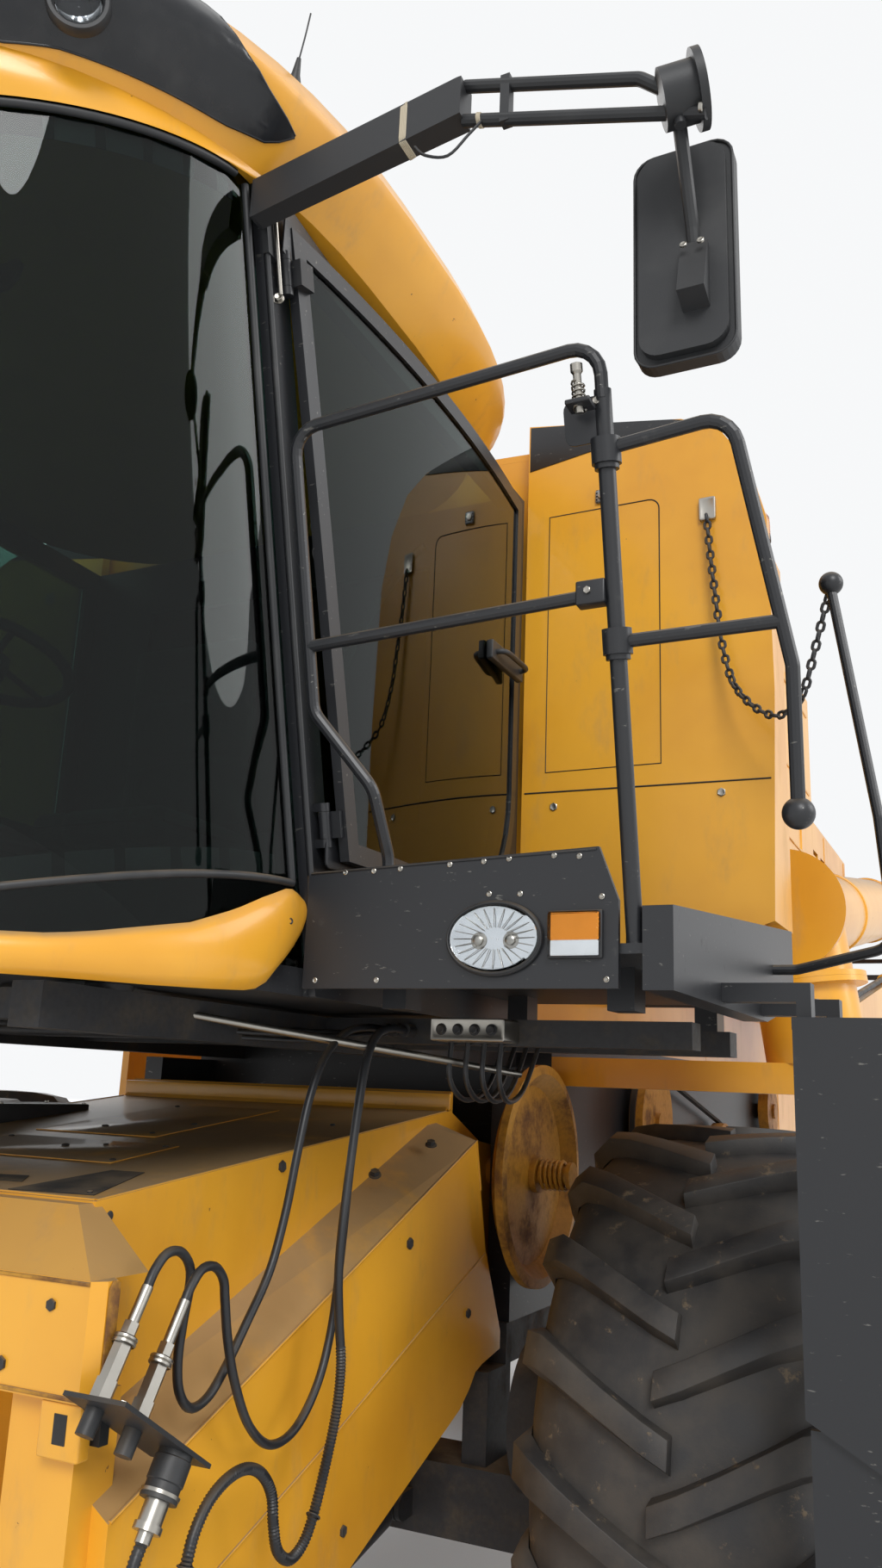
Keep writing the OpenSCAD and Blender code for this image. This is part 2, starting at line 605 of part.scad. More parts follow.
// The children along the turret's axis, with the turning plane at z = 0
module at_turret() translate([auger_x, auger_y, auger_z]) rotate([0, -auger_tilt, 0])
    translate([0, 0, -turret_below]) children();

module auger_base() color([0.86, 0.62, 0.10]) union() {
    intersection() {
        at_turret() translate([0, 0, -500]) cylinder(r = auger_r, h = 500);
        block([1000, 1700, body_top - 60], [2000, 2500, 3000]);
    }
    at_turret() translate([0, 0, -18]) cylinder(r = auger_r + 40, h = 18);
    block([body_half, auger_y - 150, body_top - 160], [auger_x + 110, auger_y + 150, body_top - 59]);
}

auger_end = [auger_x, auger_y + auger_length * cos(auger_rise), auger_z + auger_length * sin(auger_rise)];
module auger_tube() color([0.86, 0.62, 0.10]) union() {
    translate(auger_end) {
        sphere(r = auger_r);
        rotate([14, 0, 0]) mirror([0, 0, 1]) difference() {
            cylinder(r1 = auger_r - 4, r2 = auger_r - 24, h = 400);
            translate([0, 0, 180]) cylinder(r = auger_r - 40, h = 221);
        }
    }
    at_turret() {
        translate([0, 0, 0.5]) cylinder(r = auger_r + 40, h = 18);
        translate([0, 0, 0.5]) cylinder(r = auger_r, h = turret_below);
    }
    translate([auger_x, auger_y, auger_z]) {
        sphere(r = auger_r + 8);
        rotate([-90 + auger_rise, 0, 0]) cylinder(r = auger_r - 6, h = auger_length);
        rotate([90, 0, 0]) cylinder(r = auger_r - 10, h = 190);
        translate([0, -175, 0]) rotate([90, 0, 0]) cylinder(r = auger_r + 38, h = 20);
    }
}

// Drives on the left side

pulley_x = body_half + 22;
PULLEY_Y = 0;
PULLEY_Z = 1;
PULLEY_R = 2;
pulleys = [[3050, 1700, 240], [4350, 1500, 190], [5700, 1750, 170]];

module drive_pulleys() color([0.86, 0.62, 0.10]) {
    translate([body_half + 0.3, feeder_pivot_y, feeder_pivot_z]) rotate([0, 90, 0]) rotate_extrude()
        polygon([[0, 0], [50, 0], [50, 24], [dish_pulley_r - 60, 10], [dish_pulley_r - 22, 45],
            [dish_pulley_r, 45], [dish_pulley_r, 70], [dish_pulley_r - 30, 74], [dish_pulley_r - 70, 26],
            [60, 40], [60, 60], [30, 60], [30, 161], [44, 161], [44, 175], [0, 175]]);
    spring();
    for (p = pulleys) union() {
        disc_x(pulley_x + 4, pulley_x + 64, p[PULLEY_Y], p[PULLEY_Z], p[PULLEY_R]);
        disc_x(body_half + 0.3, pulley_x + 80, p[PULLEY_Y], p[PULLEY_Z], 45);
    }
}

// The pulley's coil spring, round its hub
spring_turns = 5;
module spring() sweep([for (i = [0:12 * spring_turns]) [body_half + 67.2 + 17 * i / 12,
    feeder_pivot_y + 45 * cos(30 * i), feeder_pivot_z + 45 * sin(30 * i)]], 13, 8);

// The area inside a belt round two pulleys, grown outwards by g
module belt_area(a, b, g) {
    d = [b[PULLEY_Y] - a[PULLEY_Y], b[PULLEY_Z] - a[PULLEY_Z]];
    turn = atan2(d.y, d.x);
    lean = acos((a[PULLEY_R] - b[PULLEY_R]) / norm(d));
    function rim_at(p, k) = [p[PULLEY_Y], p[PULLEY_Z]]
        + (p[PULLEY_R] + g) * [cos(turn + k * lean), sin(turn + k * lean)];
    for (p = [a, b]) translate([p[PULLEY_Y], p[PULLEY_Z]]) circle(r = p[PULLEY_R] + g);
    polygon([rim_at(a, -1), rim_at(b, -1), rim_at(b, 1), rim_at(a, 1)]);
}

module belt(a, b, w, t) side_profile(w[0], w[1]) difference() {
    belt_area(a, b, t);
    belt_area(a, b, fit);
}

module drive_belts() color([0.09, 0.09, 0.09]) belt(pulleys[0], pulleys[1], [pulley_x + 10, pulley_x + 32], 14);

// Feeder house

// The front beam that a header hangs on, and the uprights below it
beam_front = -400;
beam_low = 1255;
beam_top = 1457;
upright_out = 760;
beam_tip = 812;
body_nose = -260;
crest_z = 1575;

// The sheet cover over the drive on each side: how far down its edges are, from its rear edge forwards
shield_out = 800;
SHIELD_Y = 0;
SHIELD_INNER = 1;
SHIELD_OUTER = 2;
SHIELD_LOW = 3;
shield = [[1480, 1095, 1095, 1045], [1347, 1348, 1348, 1024], [1299, 1520, 1520, 1010], [1259, 1712, 1664, 972],
    [1196, 1706, 1639, 930], [-300, 1135, 1044, 380]];
function shield_row(x, column) = [for (s = shield) [x, s[SHIELD_Y], s[column]]];

module feeder_house() color([0.86, 0.62, 0.10]) difference() {
    union() {
        side_profile(-feeder_half, feeder_half) polygon([[1360, 1746], [body_nose, crest_z], [body_nose, 385], [-120, 360],
            [976, 660], [1790, 1020], [1800, 1580], [1740, 1630], [1592, 1649]]);
        side_profile(-feeder_half + 10, feeder_half - 10) polygon([[1340, 1738], [1396, 1738], [1396, 1806], [1384, 1806]]);
        plan(beam_low, beam_top) polygon([[-upright_out - 30, beam_front], [upright_out + 30, beam_front],
            [beam_tip, beam_front + 22], [beam_tip, beam_front + 48], [655, -245], [-655, -245],
            [-beam_tip, beam_front + 48], [-beam_tip, beam_front + 22]]);
        feeder_brow();
        pair([600, -360, 400], [upright_out, -250, beam_low + 1]);
        block([-upright_out, -360, 380], [upright_out, -250, 470]);
        sides() curved_wall(shield_row(shield_out, SHIELD_LOW), shield_row(feeder_half - 5, SHIELD_LOW),
            shield_row(shield_out, SHIELD_OUTER), shield_row(feeder_half - 5, SHIELD_INNER));
        sides() disc_x(feeder_half - 1, body_half - 4, feeder_pivot_y, feeder_pivot_z, trunnion_r);
        sides() for (side = [-1, 1])
            translate([lift_x + side * (ear_gap + ear_t / 2) - ear_t / 2, 0, 0])
                side_profile(0, ear_t) polygon([[lift_eye_y - 60, lift_eye_z - 45], [lift_eye_y + 60, lift_eye_z - 45],
                    [lift_eye_y + 160, lift_eye_z + 130], [lift_eye_y - 160, lift_eye_z + 60]]);
        sides() disc_x(lift_x - ear_gap - ear_t, lift_x + ear_gap + ear_t, lift_eye_y, lift_eye_z, lift_eye_pin);
    }
    side_profile(-feeder_half + 60, feeder_half - 60) polygon([[body_nose - 1, 430], [body_nose - 1, 1240], [100, 1210],
        [300, 1130], [500, 640], [400, 560], [-100, 430]]);
}

// The sloping face from the front beam up to the top sheet
module feeder_brow() {
    low = upright_out + 30;
    high = feeder_half - 8;
    polyhedron([[-low, beam_front, beam_top - 1], [low, beam_front, beam_top - 1], [low, -240, beam_top - 1],
        [-low, -240, beam_top - 1], [-high, beam_front + 100, crest_z - 4], [high, beam_front + 100, crest_z - 4],
        [high, -240, crest_z - 4], [-high, -240, crest_z - 4]],
        [[0, 1, 2, 3], [7, 6, 5, 4], [0, 4, 5, 1], [1, 5, 6, 2], [2, 6, 7, 3], [3, 7, 4, 0]]);
}

// The header's couplings sit on a tilted plate beside the front beam
coupler_x = 850;
coupler_y = -322;
coupler_z = 1210;
coupler_tilt = 31;
couplings = [[-12, -100, 211.2], [16, -16, 224.5]];
plug = [48, 84, -149.2];
module at_coupler() translate([coupler_x, coupler_y, coupler_z]) rotate([-coupler_tilt, 0, 0]) children();

module header_coupler() color([0.13, 0.13, 0.14]) union() {
    at_coupler() {
        block([-51, -150, -4], [85, 150, 4]);
        for (c = couplings) translate([c.x, c.y, -48]) cylinder(r = 17, h = 46);
        translate([plug.x, plug.y, -76]) cylinder(r = 32, h = 74);
        translate([plug.x, plug.y, -82]) cylinder(r = 35, h = 10);
        translate([plug.x - 50, plug.y - 10, 3]) cylinder(r = 16, h = 12);
    }
    block([coupler_x - 90, -352, 1180], [coupler_x - 45, -328, beam_low - fit]);
}

// The quick couplings' halves: a nut, a long hexagon, a sliding collar and the hose's ferrule, and the plug's nut
module quick_couplings() color([0.75, 0.76, 0.78]) at_coupler() {
    for (c = couplings) translate([c.x, c.y, 4 + fit]) union() {
        cylinder(r = 21, h = 40, $fn = 6);
        translate([0, 0, 38]) cylinder(r = 18, h = 66, $fn = 6);
        translate([0, 0, 102]) cylinder(r = 20, h = 14);
        translate([0, 0, 114]) cylinder(r = 15, h = 26, $fn = 6);
        translate([0, 0, 138]) cylinder(r = 11, h = c.z - 142.8);
    }
    translate(plug) union() {
        cylinder(r = 14, h = 20);
        translate([0, 0, 18]) cylinder(r = 26, h = 12);
        translate([0, 0, 29]) cylinder(r = 22, h = -plug.z - 111 - fit);
    }
}

// Hoses from the glands under the platform to the couplings. Each hangs in an upright plane of its own.
hose_d = 16;
hose_z = 1957;
gland_l = 39.5;
hose_x = [coupler_x + couplings[0].x, coupler_x + couplings[1].x, coupler_x + plug.x];
short_route = [[-299, 1443], [-283, 1469], [-252, 1494], [-212, 1494], [-180, 1468], [-172, 1433], [-184, 1365],
    [-190, 1300], [-178, 1243], [-140, 1206], [-88, 1212], [-40, 1250], [30, 1330], [105, 1425], [152, 1540],
    [185, 1665], [222, 1785], [280, 1880], [370, 1940], [470, 1957], [560, 1957]];
long_route = [[-220, 1411], [-205, 1435], [-175, 1461], [-134, 1461], [-102, 1434], [-92, 1397], [-72, 1320], [-36, 1235],
    [24, 1146], [106, 1092], [200, 1100], [282, 1170], [330, 1275], [354, 1415], [370, 1560], [390, 1715], [415, 1850],
    [455, 1925], [510, 1955], [560, 1957]];
ribbed_route = [[-327, 1038], [-343, 1012], [-354, 971], [-340, 925], [-302, 896], [-254, 893], [-213, 919],
    [-195, 962], [-176, 1014], [-138, 1056], [-83, 1080], [-21, 1083], [35, 1060], [76, 1014], [90, 957], [112, 903],
    [160, 873], [211, 888], [248, 936], [290, 1030], [320, 1120], [328, 1210], [310, 1300], [296, 1390], [298, 1480],
    [318, 1620], [345, 1770], [374, 1880], [420, 1938], [490, 1957], [560, 1957]];

// A smooth curve through the points of a route, in the plane of one x
function smooth(p, x, n) = concat([for (i = [0:len(p) - 2], k = [0:n - 1]) let (t = k / n,
    a = p[max(i - 1, 0)], b = p[i], c = p[i + 1], d = p[min(i + 2, len(p) - 1)],
    q = 0.5 * (2 * b + (c - a) * t + (2 * a - 5 * b + 4 * c - d) * t * t + (3 * b - a - 3 * c + d) * t * t * t))
    [x, q[0], q[1]]], [[x, p[len(p) - 1][0], p[len(p) - 1][1]]]);

module hose(route, x, d, n) color([0.09, 0.09, 0.09]) sweep(smooth(route, x, n), d, 8);

// Cab

pillar_foot_y = 40;
pillar_foot_z = 2330;
function pillar_y(z) = pillar_foot_y - (z - pillar_foot_z) * pillar_lean / 1000;
lean_angle = atan(pillar_lean / 1000);
cab_base = cab_floor_z + cab_floor_t;
door_z0 = 2300;
door_z1 = 3700;
door_y1 = 1110;

// How far the door's front edge stands behind its hinge line
door_lap = 20;

// The door's outline in Y and Z, drawn in by d all round
function door_outline(d) = concat(
    [[pillar_y(door_z0 + d) + door_lap + d, door_z0 + d], [pillar_y(door_z1 - d) + door_lap + d, door_z1 - d],
        [door_y1 - d, door_z1 - d]],
    arc(door_y1 - door_corner, door_z0 + door_corner, door_corner - d, door_corner - d, 0, -90, 8));

pillar_front = 60;
screen_end = pillar_front + fit;
screen_half = cab_side - 22;
screen_nose_low = -880;
screen_nose_high = -1080;
glass_t = 8;

// A point of the windscreen at angle t, from the left end at 0 to the right end at 180
function screen_point(t, z, inset) = let (end = pillar_y(z) - screen_end,
    nose = screen_nose_low + (z - cab_base) * (screen_nose_high - screen_nose_low) / (cab_top - cab_base))
    [(screen_half - inset) * cos(t), end + (nose + inset - end) * sin(t)];

// A curved wall between two rows of points, low and high, outer and inner
module curved_wall(outer_low, inner_low, outer_high, inner_high) {
    n = len(outer_low);
    quads = concat([for (i = [0:n - 2]) each [[i, n + i, n + i + 1, i + 1], [2 * n + i, 2 * n + i + 1, 3 * n + i + 1, 3 * n + i],
        [i, i + 1, 2 * n + i + 1, 2 * n + i], [n + i, 3 * n + i, 3 * n + i + 1, n + i + 1]]],
        [[0, 2 * n, 3 * n, n], [n - 1, 2 * n - 1, 4 * n - 1, 3 * n - 1]]);
    polyhedron(concat(outer_low, inner_low, outer_high, inner_high),
        [for (q = quads) each [[q[0], q[1], q[2]], [q[0], q[2], q[3]]]]);
}

function row(pts, z) = [for (p = pts) [p.x, p.y, z]];
screen_steps = 24;
function screen_row(z, inset) = row([for (i = [0:screen_steps]) screen_point(180 * i / screen_steps, z, inset)], z);

module cab_glazing() color([0.15, 0.22, 0.22, 0.6]) {
    curved_wall(screen_row(cab_base + fit, 0), screen_row(cab_base + fit, glass_t),
        screen_row(cab_top - fit, 0), screen_row(cab_top - fit, glass_t));
    side_profile(-cab_side + 15, -cab_side + 15 + glass_t) polygon(door_outline(20 + fit));
    front_profile(cab_rear - 25, cab_rear - 25 + glass_t) polygon([[-600 + fit, 2650 + fit], [600 - fit, 2650 + fit],
        [600 - fit, 3550 - fit], [-600 + fit, 3550 - fit]]);
}

module cab_frame() color([0.13, 0.13, 0.14]) difference() {
    union() {
        plan(cab_floor_z, cab_base) polygon(concat([for (i = [0:screen_steps])
            screen_point(180 * i / screen_steps, cab_base, 0)], [[-cab_side, pillar_y(cab_base)], [-cab_side, cab_rear],
            [cab_side, cab_rear], [cab_side, pillar_y(cab_base)]]));
        sides() side_profile(cab_side - cab_wall, cab_side) difference() {
            polygon([[pillar_y(cab_floor_z + 1) - pillar_front, cab_floor_z + 1], [pillar_y(cab_top) - pillar_front, cab_top],
                [cab_rear, cab_top], [cab_rear, cab_floor_z + 1]]);
            polygon(door_outline(20));
        }
        difference() {
            block([-cab_side + 1, cab_rear - cab_wall, cab_base - 1], [cab_side - 1, cab_rear, cab_top]);
            block([-600, 0, 2650], [600, cab_rear + 1, 3550]);
        }
        at_door_hinge() hinge_ears(door_hinges, [-50, -14], [0, 4]);
    }
}

// The door's hinge line, leaning like the pillar, with +Z up along it
hinge_x = cab_side + 20;
door_hinges = [80, 1330];
module at_door_hinge() translate([hinge_x, pillar_y(door_z0), door_z0]) rotate([lean_angle, 0, 0]) children();

// A curved sheet that holds the door: its plan is a ring's sector of the door's bulge
door_half = (door_y1 - pillar_y(door_z1)) / 2;
door_mid_y = door_y1 - door_half;
door_r = (door_half * door_half + door_bulge * door_bulge) / (2 * door_bulge);
door_face = cab_side + run + 24;
module door_sheet(inner, outer) intersection() {
    translate([door_face + door_bulge - door_r, door_mid_y, 2000]) difference() {
        cylinder(r = door_r + outer, h = 2000, $fn = fine * 2);
        translate([0, 0, -1]) cylinder(r = door_r - inner, h = 2002, $fn = fine * 2);
    }
    side_profile(cab_side, cab_side + 200) children();
}

module cab_door() color([0.13, 0.13, 0.14]) difference() {
    union() {
        door_sheet(24, 0) difference() {
            polygon(door_outline(0));
            polygon(door_outline(45));
        }
        at_door_hinge() hinge_barrels(door_hinges, [0, 6], [36, 60]);
    }
    at_door_hinge() hinge_bores(door_hinges);
}

module door_glass() color([0.15, 0.22, 0.22, 0.6]) door_sheet(16, -8) polygon(door_outline(45));

// A point on an oblong outline that is nearly an ellipse in front and squarer behind
function roof_point(t, half, y0, y1) = let (c = cos(t), s = sin(t), e = 2 / (s < 0 ? 2.3 : 3.2))
    [half * sign(c) * pow(abs(c), e), roof_mid + (s < 0 ? roof_mid - y0 : y1 - roof_mid) * sign(s) * pow(abs(s), e)];
roof_mid = 20;
roof_steps = 72;
roof_levels = [[0, 0.895, 140], [0.18, 0.95, 70], [0.40, 0.995, 8], [0.48, 1, 0], [0.68, 0.975, 28], [0.85, 0.93, 80],
    [0.96, 0.86, 160], [1, 0.78, 250]];
ROOF_UP = 0;
ROOF_WIDE = 1;
ROOF_IN = 2;

module cab_roof() color([0.86, 0.62, 0.10]) difference() {
    roof_shell();
    sides() at_roof_lamp() translate([0, 0, -30]) cylinder(r = roof_lamp_r + 2, h = 130, $fn = fine);
}

// The round lamps in the roof's front corners, with +Z out along the lamp
module at_roof_lamp() translate([785, -815, cab_top + 90]) rotate([0, 102.7, -50.4]) children();
roof_lamp_r = 46;

module roof_shell() polyhedron(
    [for (l = roof_levels, i = [0:roof_steps - 1]) let (p = roof_point(360 * i / roof_steps, roof_half * l[ROOF_WIDE],
        roof_front + l[ROOF_IN], cab_rear + 90 - min(60, l[ROOF_IN]))) [p.x, p.y, cab_top + roof_h * l[ROOF_UP]]],
    concat([[for (i = [0:roof_steps - 1]) i]],
        [for (k = [0:len(roof_levels) - 2], i = [0:roof_steps - 1]) let (a = k * roof_steps, j = (i + 1) % roof_steps)
            each [[a + i, a + roof_steps + i, a + roof_steps + j], [a + i, a + roof_steps + j, a + j]]],
        [[for (i = [roof_steps - 1:-1:0]) (len(roof_levels) - 1) * roof_steps + i]]));

// The yellow skirt under the windscreen. Towards each end it gets taller and its lower edge sweeps up to a tip.
// Its sections stand at the corners of the windscreen, and its upper edge stands a little off the glass.
skirt_from = 4;
skirt_t = 26;
skirt_off = 4;
skirt_turns = concat([skirt_from], [for (i = [1:screen_steps - 1]) 180 * i / screen_steps], [180 - skirt_from]);
function skirt_low(t) = cab_floor_z - 10 + 170 * max(0, (abs(cos(t)) - 0.9) / 0.1);
function skirt_top(t) = cab_floor_z + 50 + 176 * pow(abs(cos(t)), 2.5);
function skirt_section(t) = [for (p = [[skirt_low(t), skirt_t], [skirt_top(t), skirt_t], [skirt_top(t), skirt_off],
        [skirt_low(t), 0]])
    let (q = screen_point(t, max(p[0], cab_base), -fit - p[1])) [q.x, q.y, p[0]]];

module cab_skirt() color([0.86, 0.62, 0.10]) {
    end = screen_steps * 4;
    polyhedron([for (t = skirt_turns) each skirt_section(t)],
        concat([[0, 1, 2], [0, 2, 3]],
            [for (i = [0:screen_steps - 1], k = [0:3]) let (a = i * 4, j = (k + 1) % 4)
                each [[a + 4 + j, a + j, a + k], [a + 4 + k, a + 4 + j, a + k]]],
            [[end + 2, end + 1, end], [end + 3, end + 2, end]]));
}

module driver_seat() color([0.13, 0.13, 0.14]) union() {
    block([-230, 350, cab_base], [230, 780, cab_base + 380]);
    block([-200, 770, cab_base + 300], [200, 812, cab_base + 950]);
}

module seat_cushions() color([0.18, 0.18, 0.19]) {
    block([-250, 300, cab_base + 380.3], [250, 769, cab_base + 500]);
    block([-240, 650, cab_base + 505], [240, 769.7, cab_base + 1130]);
}

module steering_console() color([0.13, 0.13, 0.14]) union() {
    block([-110, -330, cab_base], [110, -180, cab_base + 120]);
    bar([0, -260, cab_base + 100], [0, -120, cab_base + 760], 70);
    translate([0, -115, cab_base + 780]) rotate([-15, 0, 0]) union() {
        rotate_extrude($fn = 36) translate([200, 0]) circle(r = 15, $fn = 14);
        for (a = [90, 210, 330]) rotate([0, 0, a]) rotate([0, 90, 0]) cylinder(r = 9, h = 195);
        translate([0, 0, -40]) cylinder(r = 45, h = 50);
    }
}

// Platforms, rails and mirrors

module platforms() color([0.13, 0.13, 0.14]) sides() union() {
    front_profile(0, 12) polygon([[cab_side + 6, panel_bottom], [platform_half, panel_bottom],
        [platform_half, panel_bottom + 170], [platform_half - 40, panel_top + 15], [cab_side + 6, panel_top - 10]]);
    block([cab_side + 6, 11, deck_z - 20], [skirt_half - 3, 1300, deck_z]);
    side_profile(skirt_half - 60, skirt_half) polygon([[0, 2010], [0, 2170], [1300, 2290], [1300, 2080], [900, 2010]]);
    for (y = [250, 1000]) for (x = [1000, 1540])
        block([x, y, 1989], [x + 60, y + 80, deck_z - 19]);
}

// The front rails stand in one plane that leans like the cab's pillars
function rail_y(z) = 32 - (z - deck_z) * pillar_lean / 1000;
function rail_point(x, z) = [x, rail_y(z), z];
post_foot = rail_point(platform_half + 24, deck_z);
post_top = rail_point(platform_half + 42, 3140);
post_r = 17;
wing_collars = [560, 930];
collar_h = 50;

// The children on the front post, with +Z up along it
module at_post() {
    v = post_top - post_foot;
    translate(post_foot) rotate([0, acos(v.z / norm(v)), atan2(v.y, v.x)]) children();
}

module handrails() color([0.13, 0.13, 0.14]) {
    sides() {
        pipe([[1117, 32, deck_z], [1117, 32, deck_z + 195], rail_point(1117, 2430), rail_point(985, 2600),
            rail_point(985, 3200), rail_point(post_top.x, 3230), post_top - [0, 0, 20]], rail_d, 60);
        translate([post_foot.x, post_foot.y, deck_z]) cylinder(r = 18, h = 30);
        at_post() translate([0, 0, 8]) cylinder(r = post_r, h = norm(post_top - post_foot) - 8);
        pipe([rail_point(985, 2740), rail_point(1660, 2760)], rail_d, 60);
    }
    at_post() for (z = wing_collars) translate([0, 0, z - 10.3]) cylinder(r = post_r + 7, h = 10);
    pipe([[skirt_half, 1000, 2150], [skirt_half + 60, 1000, 2150], [2060, 940, 2200], [2039, 900, 2520], [1951, 900, 3150]],
        rail_d, 60);
    translate([1951, 900, 3170]) sphere(r = 32, $fn = 16);
}

wing_tip = rail_point(1990, 2325);
module wing_rail() color([0.13, 0.13, 0.14]) difference() {
    union() {
        pipe([rail_point(post_top.x + 18, 3030), rail_point(1925, 3045), rail_point(2000, 2586), wing_tip], rail_d, 60);
        pipe([rail_point(post_top.x + 8, 2665), rail_point(1985, 2665)], rail_d, 60);
        translate(wing_tip) sphere(r = 30, $fn = 16);
        at_post() for (z = wing_collars) translate([0, 0, z]) cylinder(r = post_r + 12, h = collar_h);
    }
    at_post() cylinder(r = post_r + fit, h = 1100);
}

// A mirror: a boxed arm from the pillar, two tubes, the head on a drop tube, and a work lamp at the end
mirror_arm_end = [1420, -372, 3790];
mirror_out = [1868, -372, 3668];
head_corner = 42;
module mirrors() color([0.10, 0.10, 0.11]) sides() union() {
    side_profile(cab_side + fit, cab_side + 16) polygon([for (p = [[3600, -62], [3745, -62], [3745, -24], [3600, -24]])
        [pillar_y(p[0]) + p[1], p[0]]]);
    hull() {
        translate([cab_side + 8, -424, 3640]) cube([8, 44, 96]);
        translate([mirror_arm_end.x, -400, mirror_arm_end.z - 42]) cube([10, 54, 92]);
    }
    pipe([[1428, -372, 3838], [1800, -372, 3708], [mirror_out.x, -365, 3650], [mirror_out.x, -250, 3440],
        [mirror_out.x, -215, 3330]], rail_d, 45);
    pipe([[1428, -372, 3752], [mirror_out.x + 60, -372, 3582]], rail_d, 45);
    block([1512, -384, 3708], [1532, -360, 3822]);
    translate([mirror_out.x + 4, -262, 3340]) rotate([-16, 0, 0]) block([-26, -16, -70], [26, 46, 60]);
    front_profile(-228, -196) rounded(head, head_corner);
    front_profile(-246, -227) rounded([[head[0][0] + 14, head[0][1] + 14], [head[1][0] - 14, head[1][1] - 14]], head_corner);
    translate([mirror_out.x + 4, -372, 3640]) rotate([0, 78, 14]) union() {
        translate([0, 0, -30]) cylinder(r = 56, h = 64);
        translate([0, 0, 33]) cylinder(r = 72, h = 16);
    }
    bar([mirror_out.x + 10, -372, 3570], [mirror_out.x + 4, -372, 3620], 22);
}
head = [[1745, 3170], [mirror_reach, 3650]];

// A rectangle with round corners, between two opposite corners
module rounded(box, r) polygon([for (q = [0:3], a = [0:15:90]) let (x = q == 0 || q == 3 ? 1 : 0, y = q < 2 ? 1 : 0)
    [box[x][0] + (x > 0 ? -r : r) + r * cos(90 * q + a), box[y][1] + (y > 0 ? -r : r) + r * sin(90 * q + a)]]);

// Lamps

module head_lamps() color([0.85, 0.87, 0.88]) sides() {
    front_profile(-14, 0) polygon([for (a = [0:10:350]) [1386 + 98 * cos(a), 2112 + 69 * sin(a)]]);
    at_roof_lamp() translate([0, 0, -29.7]) cylinder(r = roof_lamp_r, h = 40, $fn = fine);
}

module amber_lamps() color([0.90, 0.50, 0.08]) sides() {
    block([1502, -20, 2071], [1612, 0, 2163]);
    translate([beacon_x, beacon_y, beacon_z]) cylinder(r = 60, h = 110);
}

// Ladder on the left: a fixed upper part and a lower part that folds outwards and up

ladder_y0 = 330;
ladder_y1 = 930;
ladder_w = 205;
ladder_in = ladder_reach - ladder_w;
ladder_fold_z = 1180;
ladder_top = deck_z - 115;
ladder_foot_z = 430;
stringer_t = 12;
tread_t = 28;
fold_x = ladder_reach - 25;
fold_pin_r = 10;
fold_gap = 6;

module ladder_fixed() color([0.13, 0.13, 0.14]) union() {
    for (y = [ladder_y0 + 1, ladder_y1 - 2 * stringer_t - fold_gap - 4])
        translate([fold_x, y, ladder_fold_z]) rotate([-90, 0, 0])
            cylinder(r = fold_pin_r, h = 2 * stringer_t + fold_gap + 3);
    for (y = [ladder_y0, ladder_y1 - stringer_t])
        side_plate(y, [[ladder_in, ladder_fold_z + 60], [ladder_in, ladder_top], [ladder_reach, ladder_top],
            [ladder_reach, ladder_fold_z - 25], [fold_x - 25, ladder_fold_z - 25]]);
    for (z = [ladder_fold_z + 120, ladder_fold_z + 430])
        block([ladder_in + 5, ladder_y0 + 1, z], [ladder_reach - 5, ladder_y1 - 1, z + tread_t]);
    for (y = [ladder_y0 + 60, ladder_y1 - 110])
        block([skirt_half, y, ladder_top + 35], [ladder_in + 30, y + 50, ladder_top + 75]);
    block([ladder_in - 1, ladder_y0 + 1, ladder_top - 25], [ladder_reach - 5, ladder_y1 - 1, ladder_top - 1]);
    for (y = [ladder_y0 + 60, ladder_y1 - 110])
        block([ladder_in, y, ladder_top - 2], [ladder_in + 30, y + 50, ladder_top + 36]);
}

// An upright plate across the machine, with its profile in X and Z
module side_plate(y, pts) front_profile(y, y + stringer_t) polygon(pts);

module ladder_folding() color([0.13, 0.13, 0.14]) difference() {
    union() {
        for (y = [ladder_y0 + stringer_t + fold_gap, ladder_y1 - 2 * stringer_t - fold_gap])
            side_plate(y, [[ladder_in + 6, ladder_foot_z], [ladder_in + 6, ladder_fold_z + 40], [fold_x - 20, ladder_fold_z + 40],
                [ladder_reach, ladder_fold_z + 20], [ladder_reach, ladder_foot_z]]);
        for (z = [ladder_foot_z + 10, ladder_foot_z + 340])
            block([ladder_in + 10, ladder_y0 + stringer_t + fold_gap + 1, z],
                [ladder_reach - 5, ladder_y1 - stringer_t - fold_gap - 1, z + tread_t]);
    }
    translate([fold_x, ladder_y0 - 1, ladder_fold_z]) rotate([-90, 0, 0]) cylinder(r = fold_pin_r + fit, h = 700);
}

// The machine stands with its origin on the floor under the middle of its outline
module placed() translate([-origin_x, -origin_y, 0]) children();

placed() chassis_frame();
placed() front_axle();
placed() rear_axle();
placed() threshing_housing();
placed() corner_panels();
placed() grain_tank();
placed() engine();
placed() engine_hood();
placed() exhaust_pipe();
placed() straw_hood();
placed() straw_chopper();
placed() rear_ladder();
placed() rear_lamps();
placed() cab_frame();
placed() cab_glazing();
placed() cab_roof();
placed() cab_skirt();
placed() driver_seat();
placed() seat_cushions();
placed() steering_console();
placed() platforms();
placed() handrails();
placed() mirrors();
placed() head_lamps();
placed() amber_lamps();
placed() auger_base();
placed() drive_pulleys();
placed() drive_belts();
placed() feeder_house();
placed() header_coupler();
placed() quick_couplings();
placed() hose(short_route, hose_x[0], hose_d, 3);  // hose_short
placed() hose(long_route, hose_x[1], hose_d, 3);  // hose_long
placed() hose(ribbed_route, hose_x[2], 20, 2);  // hose_ribbed
placed() lift_barrels();
placed() lift_rods();
placed() front_rim(1);  // front_rim_left
placed() front_tyre(1);  // front_tyre_left
